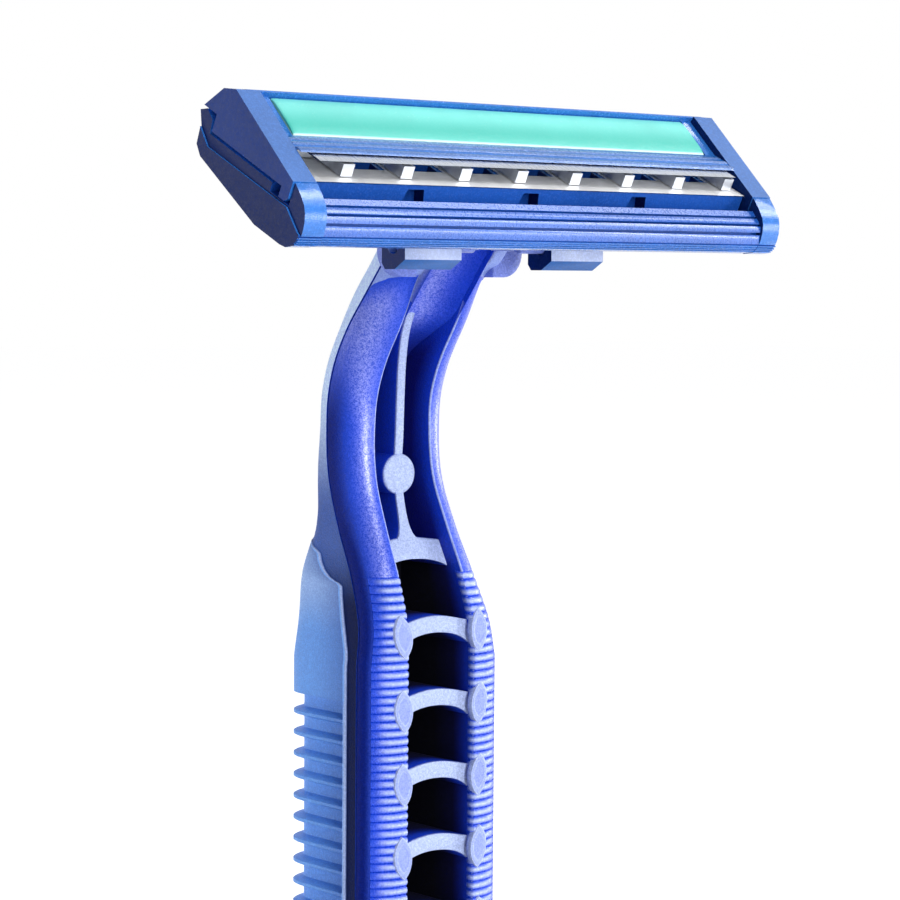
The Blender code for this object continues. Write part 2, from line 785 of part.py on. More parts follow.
def make_handle(finish):
    """Handle: one moulding with the yoke, neck, ladder grip and tail."""
    ribs, ribs_bottom = rib_levels()
    tail = tail_levels()
    ribs_top = max(row[0] for row in ribs)
    neck = []
    for index in range(neck_steps + 1):
        neck.append((grip_top + neck_height * index / neck_steps, 0.0, 0.0))
    keep = [row for row in tail + neck if not ribs_bottom - rib_pitch / 2 < row[0] < ribs_top]
    levels = sorted(keep + ribs)
    handle = loft("handle", [handle_ring(*row) for row in levels], finish)

    ladder_low = ladder_bottom()
    marks = [row[0] for row in levels if row[0] > ladder_low + rung_pitch / 2]
    plain = [z for z in marks if z > grip_top] + [grip_top]
    channel = [channel_ring(z) for z in [ladder_low] + sorted(plain)]
    channel.append([(x, y, handle_top + overrun) for x, y, z in channel[-1]])
    combine(handle, loft("channel", channel), "DIFFERENCE")
    combine(handle, group_of("ladder_pockets", ladder_pockets()), "DIFFERENCE")
    combine(handle, group_of("neck_pockets", neck_pockets()), "DIFFERENCE")
    combine(handle, make_disc(), "UNION")
    combine(handle, make_pads(), "UNION")
    combine(handle, make_arms(), "UNION")
    combine(handle, make_ears(), "UNION")
    pins = [cylinder("pin_%d" % side, pin_radius, (side * arm_inner, pivot_y, pivot_z),
                     (side * pin_reach, pivot_y, pivot_z)) for side in (-1, 1)]
    combine(handle, group_of("stub_pins", pins), "UNION")
    return handle


def rung_place(index):
    """Height of the middle of a rung, counted down from the neck."""
    return handle_top - rung_first - index * rung_pitch


def ladder_bottom():
    """Height where the ladder ends."""
    return rung_place(rung_count) + rung_height / 2


def channel_ring(z):
    """Cross section of the shallow channel between the rails."""
    front, _, _, _, _, half, depth, _ = grip_sizes(z)
    low = front - overrun
    return [(-half, low, z), (half, low, z), (half, front + depth, z), (-half, front + depth, z)]


def pocket_floor(z, wall):
    """Depth of a pocket's floor at a height, a wall's thickness short of the back."""
    front, drop, side, back, _, _, _, _ = grip_sizes(z)
    return front + drop + side + back - wall


def ladder_pockets():
    """Deep pockets between the rungs, with arched ends."""
    made = []
    for index in range(rung_count):
        high = rung_place(index) - rung_height / 2
        low = rung_place(index + 1) + rung_height / 2
        front, _, _, _, _, half, depth, _ = grip_sizes(high)
        half += pocket_ledge
        floor = pocket_floor((low + high) / 2, grip_wall + rib_depth)
        shares = [2 * step / rung_steps - 1 for step in range(rung_steps + 1)]
        lower = [(share * half, low + rung_arch * (0.5 - share * share)) for share in shares]
        upper = [(share * half, high + rung_arch * (0.5 - share * share)) for share in shares[::-1]]
        start = min(front, grip_sizes(low)[0]) + depth / 2
        rings = [[(x, y, z) for x, z in lower + upper] for y in (start, floor)]
        made.append(loft("pocket_%d" % index, rings))
    return made


def neck_pockets():
    """Deep pockets on both sides of the neck's web."""
    made = []
    high = handle_top - web_top
    low = rung_place(0) + rung_height / 2
    for side in (-1, 1):
        rings = []
        for step in range(web_steps + 1):
            z = low + (high - low) * step / web_steps
            front, _, _, _, _, half, depth, _ = grip_sizes(z)
            start = front + depth / 2
            floor = pocket_floor(z, neck_wall + rib_depth * max(0.0, 1 - 2 * step / web_steps))
            inner = side * web_width / 2
            outer = side * (half + pocket_ledge)
            rings.append([(inner, start, z), (outer, start, z), (outer, floor, z), (inner, floor, z)])
        made.append(loft("neck_pocket_%d" % side, rings))
    return made


def make_disc():
    """Round boss on the web."""
    z = handle_top - disc_drop
    front, _, _, _, _, _, depth, _ = grip_sizes(z)
    floor = pocket_floor(z, neck_wall / 2)
    return cylinder("web_disc", disc_radius, (0, front + depth, z), (0, floor, z), disc_steps)


def make_pads():
    """Diamond pads on the rails beside each rung."""
    made = []
    for index in range(1, rung_count + 1):
        z = rung_place(index)
        front = grip_sizes(z)[0]
        for side in (-1, 1):
            x = side * pad_out
            turns = [2 * math.pi * step / pad_steps for step in range(pad_steps)]
            ring = [(x + pad_width / 2 * math.cos(turn) * abs(math.cos(turn)) ** pad_point,
                     z + pad_height / 2 * math.sin(turn)) for turn in turns]
            rings = [[(px, y, pz) for px, pz in ring] for y in (front - pad_proud, front + pad_depth)]
            made.append(loft("pad", rings))
    return group_of("pads", made)


def make_arms():
    """Arms of the yoke that carry the stub pins."""
    low = pivot_z - arm_below
    front = pivot_y - arm_front
    chamfer = arm_below
    front_top = grip_sizes(handle_top)[0] + rail_drop / 2
    outline = [(front, low + chamfer), (front, handle_top - 2 * chamfer), (front + 2 * chamfer, handle_top)]
    outline += [(front_top, handle_top), (front_top, low), (front + chamfer, low)]
    return prisms("yoke_arms", [outline] * 2, both_ends(arm_inner, arm_outer))


def make_ears():
    """Ears beside the top of the neck, each with a round lower corner."""
    low = handle_top - ear_height
    front = grip_sizes(handle_top)[0] + ear_front
    outline = [(ear_inner, low)]
    for index in range(ear_steps + 1):
        turn = math.pi / 2 * index / ear_steps
        x = ear_reach - ear_round * (1 - math.sin(turn))
        outline.append((x, low + ear_round * (1 - math.cos(turn))))
    outline += [(ear_reach, handle_top - pocket_ledge), (ear_inner, handle_top - pocket_ledge)]
    ears = []
    for side in (-1, 1):
        rings = [[(side * x, y, z) for x, z in outline] for y in (front, front + ear_thickness)]
        ears.append(loft("ear_%d" % side, rings))
    return group_of("yoke_ears", ears)


def finger_root():
    """(y, z) of the finger's root in front of the channel's floor."""
    z = handle_top - finger_root_drop
    front, _, _, _, _, _, depth, _ = grip_sizes(z)
    return front + depth - finger_root_gap - finger_thickness / 2, z


def finger_tip():
    """(y, z) of the middle of the finger's round tip, a rest gap below the platform's back face."""
    low, high = [np.array(blade_place(*point)) for point in scaled(back_shares[:2], platform_back)]
    run = (high - low) / np.linalg.norm(high - low)
    away = np.array([run[1], -run[0]])
    return tuple(low + run * finger_contact + away * (finger_rest_gap + finger_tip_radius))


def make_finger(finish):
    """Return finger: a leaf from the yoke's floor up to the platform's back."""
    root = np.array(finger_root())
    tip = np.array(finger_tip())
    run = (tip - root) / np.linalg.norm(tip - root)
    up = np.array([-run[1], run[0]]) * (-1 if run[0] > 0 else 1)
    outline = []
    for index in range(finger_steps + 1):
        turn = math.pi * index / finger_steps
        outline.append(tuple(tip + finger_tip_radius * (up * math.cos(turn) + run * math.sin(turn))))
    for index in range(finger_steps + 1):
        turn = math.pi * index / finger_steps
        outline.append(tuple(root - finger_thickness / 2 * (up * math.cos(turn) + run * math.sin(turn))))
    half = finger_width / 2
    return prisms("return_finger", [outline], [(-half, half)], finish)


def main():
    """Build every piece of the razor."""
    clear_scene()
    handle_plastic = material("handle_plastic", "blue", 0.42)
    head_plastic = material("head_plastic", "navy", 0.35)
    steel = material("blade_steel", "steel", 0.22, 1.0)
    gel = material("strip_gel", "aqua", 0.5)
    pieces = [
        make_handle(handle_plastic), make_finger(handle_plastic), make_platform(head_plastic),
        make_lower_blade(steel), make_spacer(steel), make_upper_blade(steel), make_cap(head_plastic),
        make_strip(gel),
    ]
    for piece in pieces:
        smooth_shade(piece, 35 * deg)


main()
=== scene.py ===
import math
from collections import namedtuple

import bmesh
import bpy
import numpy as np
from mathutils import Matrix, Vector


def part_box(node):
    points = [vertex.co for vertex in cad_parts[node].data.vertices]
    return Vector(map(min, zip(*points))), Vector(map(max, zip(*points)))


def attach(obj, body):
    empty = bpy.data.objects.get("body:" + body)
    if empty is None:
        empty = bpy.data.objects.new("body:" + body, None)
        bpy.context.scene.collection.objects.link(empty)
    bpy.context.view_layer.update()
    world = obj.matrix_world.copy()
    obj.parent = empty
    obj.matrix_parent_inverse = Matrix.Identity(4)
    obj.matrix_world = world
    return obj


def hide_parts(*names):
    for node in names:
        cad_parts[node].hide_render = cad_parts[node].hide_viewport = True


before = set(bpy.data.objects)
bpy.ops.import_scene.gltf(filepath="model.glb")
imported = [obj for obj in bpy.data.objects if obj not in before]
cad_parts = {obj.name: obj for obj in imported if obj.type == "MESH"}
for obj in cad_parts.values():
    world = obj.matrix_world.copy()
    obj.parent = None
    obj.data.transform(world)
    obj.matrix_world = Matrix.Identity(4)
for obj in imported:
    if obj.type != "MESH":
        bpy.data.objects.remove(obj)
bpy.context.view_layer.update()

bl_info = {
    "name": "Disposable razor looks",
    "version": (1, 0, 0),
    "blender": (4, 5, 0),
    "location": "3D View > Sidebar > Razor",
    "description": "Builds the finished surfaces, plastics and steel of a disposable razor on its frame",
    "category": "Object",
}

# Metres. The origin is the middle of the tail's flat end, +X runs along the blades, -Y is the
# shaving side and +Z points up the handle to the head. Lengths below are in millimetres and are
# turned into metres by mm where a mesh is filled.
mm = 0.001

# Sizes shared with the frame's handle
handle_top = 109.4
neck_height = 29.4
neck_bow = 4.42
grip_half = 6.0
grip_front = 4.82
grip_side = 5.15
grip_back = 3.6
back_limit = 6.04
rail_drop = 1.82
rail_land = 0.12
channel_half = 3.0
channel_depth = 1.6
neck_wall = 1.0
grip_wall = 2.75
tail_half = 5.0
tail_front = 3.4
tail_side = 3.6
tail_length = 26.0
tail_round = 1.6
rung_first = 22.1
rung_pitch = 5.05
rung_count = 14
web_top = 5.4
disc_drop = 16.7
rib_first = 33.3
rib_count = 29
rib_lead = 1.3
pivot_y = -9.9
pivot_z = 108.5

# The neck from its top down to the grip: place along the neck, then front edge (of the bow), rail
# drop, side, back, half width, channel width and channel depth, each of the grip's own, and how
# square the back is
neck_shares = np.array((
    (0.000, -0.74, 1.45, 0.20, 0.36, 0.775, 0.78, 1.62, 0.00),
    (0.066, -0.42, 1.50, 0.19, 0.36, 0.775, 0.78, 1.76, 0.00),
    (0.135, -0.05, 1.56, 0.19, 0.36, 0.770, 0.79, 1.75, 0.00),
    (0.225, 0.42, 1.62, 0.11, 0.36, 0.768, 0.79, 1.34, 0.00),
    (0.300, 0.74, 1.56, 0.10, 0.36, 0.765, 0.79, 0.72, 0.00),
    (0.375, 0.94, 1.46, 0.10, 0.36, 0.763, 0.79, 0.26, 0.00),
    (0.466, 1.00, 1.44, 0.10, 0.37, 0.758, 0.81, 0.16, 0.00),
    (0.578, 0.92, 1.50, 0.20, 0.40, 0.755, 0.84, 0.45, 0.10),
    (0.690, 0.62, 1.54, 0.42, 0.49, 0.778, 0.89, 0.84, 0.35),
    (0.803, 0.27, 1.36, 0.83, 0.75, 0.835, 0.94, 1.00, 0.80),
    (0.915, 0.03, 1.10, 0.96, 0.95, 0.928, 0.98, 1.00, 1.00),
    (1.000, 0.00, 1.00, 1.00, 1.00, 1.000, 1.00, 1.00, 1.00),
))

# Upper border of the raised side panel: height, and how far back it runs on the side
border_line = np.array((
    (0.0, -1.8), (80.6, -1.75), (83.1, -0.75), (84.5, -0.25), (85.2, -0.08), (85.37, 0.25),
    (85.47, 0.75), (85.72, 1.40), (86.1, 2.00), (86.7, 2.50), (87.5, 2.75)))

# The fine ribs on the rails: where they end above, the share of the rail's quarter turn that they
# cover, and how far the rail under them lies below its own line
fine_top = 86.0
fine_reach = 0.66
fine_sink = 0.14

# Guard's outline in y and z, and the ridges of the cap's front bar: y, z, lean, half width, height
guard_line = np.array(((-14.643, 109.934), (-15.231, 111.107), (-15.788, 110.411), (-16.025, 109.947),
                       (-15.95, 109.201), (-15.881, 108.822)))
cap_ridges = ((-13.22, 114.12, 0.454, 0.34, 0.15), (-12.66, 114.555, 0.58, 0.17, 0.045),
              (-12.05, 114.85, 0.444, 0.20, 0.04))

# Grains or lines per metre of the surface textures, and their depths in metres
handle_grain = 13000.0
head_grain = 9000.0
steel_lines = 9000.0
handle_bump = 0.00008
rib_bump = 0.00002
pad_bump = 0.00006
head_bump = 0.00001
smooth_bump = 0.000003
steel_bump = 0.000012

# The stage, in metres: half the floor's width, its height, its glow, and the point that the lamps face
floor_half = 3.0
floor_level = -0.0003
floor_glow = 0.72
lamp_target = (0.0, 0.0, 0.09)

# The photograph's camera: its place in metres, the way it looks, its up, and its lens in millimetres
camera_place = (-0.12185, -0.14678, 0.10669)
camera_ahead = (0.65163, 0.75580, -0.06436)
camera_up = (0.03647, 0.05354, 0.99790)
camera_lens = 109.88

# The yoke: how far its arms, pins and ears reach from the middle, the ears' front and back, the pins'
# radius and the ears' round corner
arm_low = 2.0
arm_high = 3.6
arm_soft = 0.05
pin_reach = 8.3
pin_radius = 0.5
ear_low = 3.4
ear_high = 6.1
ear_front = -5.89
ear_back = -4.89
ear_drop = 3.0
ear_round = 1.7

# Height of the ledge that closes the rounded rails under the yoke, and the low end of the ladder's opening
ledge_height = 105.35
ladder_low = handle_top - rung_first - rung_count * rung_pitch + 0.6

# Places across the pocket's floor from the middle out, and around a rail's quarter turn
floor_shares = np.array((0.0, 0.22, 0.44, 0.64, 0.8, 0.91, 0.97))
rail_shares = np.array((0.012, 0.06, 0.13, 0.20, 0.28, 0.36, 0.44, 0.52, 0.60, fine_reach - 0.004,
                        fine_reach + 0.004, 0.72, 0.79, 0.86, 0.93, 1.0))

# Columns of half a ring of the handle, in their order round it
ring_counts = (len(floor_shares), 6, 3, len(rail_shares), 5, 13, 2, 24)
ring_ends = np.cumsum((0,) + ring_counts).tolist()
(floor_part, wall_part, arris_part, rail_part, line_part, band_part, border_part,
 panel_part) = [slice(low, high) for low, high in zip(ring_ends[:-1], ring_ends[1:])]

# Sizes of the handle's section at one or more heights
Section = namedtuple("Section", "front drop side back half channel depth square place")

# Places on the head, most of them borders between its finishes, painted shade and painted highlights: the end
# walls' inner and outer side, half the length of the cap's bar, the hooks, the guard with how deep the
# painted shade of its grooves starts, and the trough
end_inner = 19.3
end_outer = 20.7
bar_half = 19.15
hooks_below = 109.6
hooks_front = -13.0
hooks_top = 107.9
hook_face_top = 109.8
guard_back = -15.0
guard_front = -14.6
guard_low = 108.7
groove_depth = 0.08
trough_back = -9.0
trough_low = 109.5
trough_high = 112.1
finish_and_painted_light_names = ("body", "end", "belly", "front", "trough", "top", "inner", "guard")


def length_setting(name, description, value):
    """A length that can be set, given in millimetres."""
    return bpy.props.FloatProperty(
        name=name, description=description, default=value * mm, unit="LENGTH", precision=5)


def colour_setting(name, description, value):
    """A colour that can be set."""
    return bpy.props.FloatVectorProperty(
        name=name, description=description, default=value, subtype="COLOR", size=3, min=0.0, max=1.0)


def power_setting(name, description, value):
    """A lamp's power that can be set."""
    return bpy.props.FloatProperty(name=name, description=description, default=value, min=0.0, unit="POWER")


class RazorHandleSettings(bpy.types.PropertyGroup):
    """Sizes and colours of the handle."""

    rib_pitch: length_setting("Rib Pitch", "Distance between the large ribs of the grip", 1.5)
    rib_depth: length_setting("Rib Depth", "Depth of the floor between the large ribs under their tips", 0.75)
    fine_pitch: length_setting("Fine Rib Pitch", "Distance between the fine ribs on the rails", 0.57)
    fine_height: length_setting("Fine Rib Height", "How far the fine ribs stand out of the rails", 0.14)
    rung_arch: length_setting("Rung Arch", "Rise of a rung's middle over its ends", 0.6)
    colour: colour_setting("Handle Colour", "Colour of the handle's plastic", (0.006, 0.050, 0.54))
    panel_colour: colour_setting("Panel Colour", "Colour of the raised side panel", (0.12, 0.33, 0.88))
    # This colour also lightens the upper part of the side panel as painted light.
    strip_colour: colour_setting(
        "Neck Side Colour", "Colour of the blasted sides of the neck", (0.50, 0.64, 1.0))
    # This colour also darkens the side panel along its front edge as painted shade.
    foot_side_and_painted_shade_colour: colour_setting(
        "Side Colour", "Colour of the blasted side at the foot of the neck", (0.020, 0.075, 0.34))
    band_colour: colour_setting(
        "Band Colour", "Colour of the dark band between the rails and the side panel", (0.001, 0.007, 0.06))
    # The rails' outer side: partly their own smooth dark finish, partly painted shade where they turn away
    # from the lamps.
    rail_side_and_painted_shade_colour: colour_setting(
        "Rail Side Colour", "Colour of the smooth outer side of the rails", (0.001, 0.009, 0.15))
    # This colour is a painted sheen and painted highlight on front faces, edges, rib crests and pad rims.
    painted_sheen_colour: colour_setting("Pale Colour", "Colour of the matt front faces and edges", (0.34, 0.41, 0.64))
    # Painted light on the pocket walls near their edge.
    painted_wall_light_colour: colour_setting(
        "Wall Colour", "Colour of the pocket walls near their edge", (0.010, 0.055, 0.62))
    # Painted shade deeper in the neck's pockets.
    painted_shade_colour: colour_setting("Deep Colour", "Colour of the neck's pockets", (0.006, 0.009, 0.17))
    # Painted shadow deep in the grip's pockets and in the groove lines.
    painted_shadow_colour: colour_setting(
        "Dark Colour", "Colour deep in the grip's pockets and in the groove lines", (0.002, 0.002, 0.008))


class RazorHeadSettings(bpy.types.PropertyGroup):
    """Sizes and colours of the head."""

    edge_round: length_setting("Edge Round", "Width of the rounding on the head's moulded edges", 0.05)
    colour: colour_setting("Head Colour", "Colour of the head's plastic", (0.020, 0.130, 0.45))
    # The dark ends below are partly their own darker colour and partly painted shade.
    cap_end_colour: colour_setting("Cap End Colour", "Colour of the cap's end walls", (0.004, 0.027, 0.17))
    end_colour: colour_setting(
        "End Colour", "Colour of the platform's end walls and of the hooks' open ends", (0.001, 0.012, 0.09))
    strip_colour: colour_setting("Strip Colour", "Colour of the lubricating strip", (0.15, 0.60, 0.55))
    steel_colour: colour_setting("Steel Colour", "Colour of the blades' steel", (0.58, 0.61, 0.66))


class RazorStageSettings(bpy.types.PropertyGroup):
    """Lamps and floor."""

    key_power: power_setting("Key Power", "Power of the tall lamp in front", 3.7)
    fill_power: power_setting("Fill Power", "Power of the lamp in front on the right", 1.2)
    side_power: power_setting("Side Power", "Power of the lamp behind on the left", 1.6)
    edge_power: power_setting("Edge Power", "Power of the small lamp on the right", 1.0)
    top_power: power_setting("Top Power", "Power of the lamp above on the right", 1.7)
    air_light: bpy.props.FloatProperty(
        name="Air Light", description="Strength of the light that comes evenly from all sides", default=0.3,
        min=0.0)
    floor_colour: colour_setting("Floor Colour", "Colour of the floor", (0.92, 0.92, 0.93))


def ease(value):
    """Smooth step: 3t^2 - 2t^3 of a value held between 0 and 1."""
    t = np.clip(value, 0.0, 1.0)
    return t * t * (3 - 2 * t)


def through(table, place):
    """Smooth curves through a table's rows: a cubic in each gap, sloped at a row as its neighbours lie."""
    knots = table[:, 0]
    values = table[:, 1:]
    slopes = np.gradient(values, knots, axis=0)
    place = np.clip(place, knots[0], knots[-1])
    index = np.clip(np.searchsorted(knots, place, side="right") - 1, 0, len(knots) - 2)
    span = (knots[index + 1] - knots[index])[:, None]
    t = (place - knots[index])[:, None] / span
    low = (1 + 2 * t) * (1 - t) ** 2 * values[index] + t * (1 - t) ** 2 * span * slopes[index]
    high = t * t * (3 - 2 * t) * values[index + 1] - t * t * (1 - t) * span * slopes[index + 1]
    return low + high


def grid_quads(rows, columns, closed):
    """Corner numbers of the quads between neighbouring rows and columns, the last column joined to the
    first where closed."""
    steps = columns if closed else columns - 1
    row, column = np.meshgrid(np.arange(rows - 1), np.arange(steps), indexing="ij")
    after = (column + 1) % columns
    return np.stack([row * columns + column, row * columns + after,
                     (row + 1) * columns + after, (row + 1) * columns + column], axis=-1).reshape(-1, 4)


def skin(points, closed=True, ends=True, flip=False):
    """Points (rows, columns, 3) as a surface: quads between rows, and where asked a face over each end."""
    rows, columns = points.shape[:2]
    faces = grid_quads(rows, columns, closed).tolist()
    if ends:
        faces += [list(range(columns))[::-1], list(range((rows - 1) * columns, rows * columns))]
    if flip:
        faces = [face[::-1] for face in faces]
    return points.reshape(-1, 3), faces


def joined(shells):
    """Several surfaces as one set of points and faces."""
    starts = np.cumsum([0] + [len(points) for points, faces in shells[:-1]])
    points = np.concatenate([points for points, faces in shells])
    faces = [[int(start) + corner for corner in face] for start, shell in zip(starts, shells)
             for face in shell[1]]
    return points, faces


def mirrored(shell):
    """The same surface on the other side of the middle, with its faces turned back to point outwards."""
    points, faces = shell
    return points * np.array((-1.0, 1.0, 1.0)), [face[::-1] for face in faces]


def put(name, shell, sharp=32.0):
    """A new object from points in millimetres and faces: facing out, and smooth but for edges over the
    sharp angle in degrees."""
    points, faces = shell
    mesh = bpy.data.meshes.new(name)
    mesh.from_pydata((np.asarray(points) * mm).tolist(), [], faces)
    work = bmesh.new()
    work.from_mesh(mesh)
    bmesh.ops.recalc_face_normals(work, faces=work.faces)
    work.to_mesh(mesh)
    work.free()
    mesh.validate()
    mesh.shade_smooth()
    mesh.set_sharp_from_angle(angle=math.radians(sharp))
    made = bpy.data.objects.new(name, mesh)
    bpy.context.scene.collection.objects.link(made)
    return made


def sections(z):
    """The handle's section at each height: the grip's own sizes times the neck's smooth curves, tapered to
    the tail."""
    place = (handle_top - z) / neck_height
    row = through(neck_shares, place)
    front = -grip_front + row[:, 0] * neck_bow
    side = row[:, 2] * grip_side
    half = row[:, 4] * grip_half
    taper = ease(1.0 - z / tail_length)
    front = front + taper * (grip_front - tail_front)
    side = side - taper * (grip_side - tail_side)
    half = half - taper * (grip_half - tail_half)
    return Section(front, row[:, 1] * rail_drop, side, row[:, 3] * grip_back, half, row[:, 5] * channel_half,
                   row[:, 6] * channel_depth, 1.0 - 0.4 * row[:, 7], place)


def as_columns(sizes):
    """Each size of a section as a column with a row for each height."""
    return Section(*(value[:, None] for value in sizes))


def section_at(z):
    """The handle's section at one height."""
    return Section(*(value[0] for value in sections(np.array((z,)))))


def rung_height_at(index):
    """Height of the middle of a rung, counted down from the neck."""
    return handle_top - rung_first - index * rung_pitch


def pocket_floor(z):
    """How far back the pockets reach: the back less a wall that is thin in the neck and thick in the grip."""
    at = sections(z)
    wall = neck_wall + (grip_wall - neck_wall) * ease((rung_height_at(-0.4) - z) / 2.5)
    return at.front + at.drop + at.side + at.back - wall


def handle_rows(rib_pitch, rib_depth):
    """Heights of the handle's rows with the depth of the rib zone's floor at each: close together over the
    ribs and the panel's border."""
    tail = tail_round * (1 - np.cos(np.linspace(0.0, np.pi / 2, 7)))
    first = handle_top - rib_first
    offsets = np.array((-0.52, -0.36, -0.25, -0.17, -0.10, 0.10, 0.17, 0.25, 0.36, 0.52)) * rib_pitch / 1.5
    depths = np.array((1.0, 0.94, 0.62, 0.16, 0.0, 0.0, 0.16, 0.62, 0.94, 1.0)) * rib_depth
    centres = first - np.arange(rib_count) * rib_pitch
    ribs = (centres[:, None] + offsets[None, :]).ravel()
    rib_inset = np.tile(depths, rib_count)
    top = first + rib_lead
    low = centres[-1] - rib_lead
    limits = np.array((low - 0.06, low, top, top + 0.06))
    limit_inset = np.array((0.0, rib_depth, rib_depth, 0.0))
    spans = (
        (tail_round + 1.0, low - 0.6, 1.3), (top + 0.5, 84.0, 0.5), (84.0, 85.0, 0.2), (85.0, 86.0, 0.06),
        (86.0, 91.4, 0.2), (91.4, ledge_height - 0.1, 0.3), (ledge_height - 0.06, ledge_height + 0.2, 0.04),
        (ledge_height + 0.4, handle_top - 0.1, 0.3))
    plain = np.concatenate([tail] + [np.arange(*span) for span in spans] + [(handle_top - 0.08, handle_top)])
    z = np.concatenate((plain, ribs, limits))
    inset = np.concatenate((np.zeros(len(plain)), rib_inset, limit_inset))
    order = np.argsort(z, kind="stable")
    return z[order], inset[order]


def side_and_back(u, sizes, start):
    """Points along the side and round to the middle of the back, and their outward direction. The share u
    runs over a straight side and then a quarter of a superellipse, x = half cos^q, y = back sin^q."""
    at = as_columns(sizes)
    straight = np.maximum(at.side, 0.05)
    bend = math.pi / 2 * np.sqrt((at.half ** 2 + at.back ** 2) / 2)
    share = straight / (straight + bend)
    turn = np.clip((u - share) / (1 - share), 0.0, 1.0) * math.pi / 2
    along = np.clip(u / share, 0.0, 1.0) * straight
    x = at.half * np.maximum(np.cos(turn), 0.0) ** at.square
    y = start[:, None] + along + at.back * np.maximum(np.sin(turn), 0.0) ** at.square
    return x, y, np.cos(turn), np.sin(turn)


def pocket_columns(z, at, opened, trough, sink):
    """Half of each ring from the middle of the pocket's floor to its edge. The floor is a bowl,
    depth (1 - s^2.6)^0.6, in the trough under the yoke, and flat in the pockets."""
    across = floor_shares[None, :]
    bowl = at.front + at.depth * (1 - across ** 2.6) ** 0.6
    deep = pocket_floor(z)[:, None]
    floor_y = trough * bowl + (1 - trough) * deep
    floor_y = opened * floor_y + (1 - opened) * at.front
    rise = np.array((0.0, 0.45, 0.72, 0.87, 0.95))[None, :]
    foot = trough * (at.front + 0.25 * at.depth) + (1 - trough) * deep
    foot = opened * foot + (1 - opened) * at.front
    wall_y = foot + (at.front + 0.10 * opened - foot) * rise
    wall_y = np.concatenate((wall_y, at.front + 0.13 * opened + sink), axis=1)
    return [across * at.channel, np.broadcast_to(at.channel, wall_y.shape)], [floor_y, wall_y]


def rail_columns(at, opened, sink):
    """Half of each ring from the pocket's edge over the rounded rail, a quarter ellipse that lies lower
    where fine ribs cover it, to the end of the groove line."""
    arris = np.array(((0.0, 0.09), (0.025, 0.03), (0.09, 0.0)))
    turn = rail_shares[None, :] * math.pi / 2
    land = at.channel + rail_land
    lowered = sink * (rail_shares < fine_reach)[None, :]
    line = np.array(((0.0, -0.02), (0.10, 0.0), (0.22, 0.06), (0.22, 0.14), (0.03, 0.2)))
    line_depth = np.minimum(1.0, at.side / 0.25)
    x = [at.channel + arris[None, :, 0],
         land + (at.half - land) * np.sin(turn) - lowered * np.sin(turn),
         at.half - line[None, :, 0] * line_depth]
    y = [at.front + arris[None, :, 1] * opened + sink,
         at.front + at.drop * (1 - np.cos(turn)) + lowered * np.cos(turn),
         at.front + at.drop + line[None, :, 1]]
    return x, y


def side_columns(z, sizes, inset):
    """Half of each ring from the groove line round to the middle of the back: the blasted band, the panel's
    border that rises over it, and the panel with its large ribs."""
    start = sizes.front + sizes.drop + 0.2
    border_y = np.interp(z, border_line[:, 0], border_line[:, 1])
    taper = np.interp(z, (0.0, tail_length), (grip_front - tail_front, 0.0))
    border_y = border_y + taper * 0.8
    total = np.maximum(sizes.side, 0.05) + math.pi / 2 * np.sqrt((sizes.half ** 2 + sizes.back ** 2) / 2)
    border = np.clip((border_y - start) / total, 0.03, 1.0)
    border = border + (1.0 - border) * ease((z - 87.1) / 2.4)
    marks = np.minimum(border[:, None] + np.array((0.0, 0.07, 0.34, 0.42)) / total[:, None], 1.0)
    band = np.linspace(0.0, 1.0, 13)[None, :] * marks[:, :1]
    rest = marks[:, 3:] + (1.0 - marks[:, 3:]) * np.linspace(0.0, 1.0, 24)[None, 1:]
    x, y, out_x, out_y = side_and_back(np.concatenate((band, marks[:, 1:], rest), axis=1), sizes, start)
    low = 0.12 * ease((94.0 - z) / 4.0)
    sunk = np.repeat(np.stack((low, 0 * low, inset), axis=1), ring_counts[-3:], axis=1)
    return [x - sunk * out_x], [y - sunk * out_y]


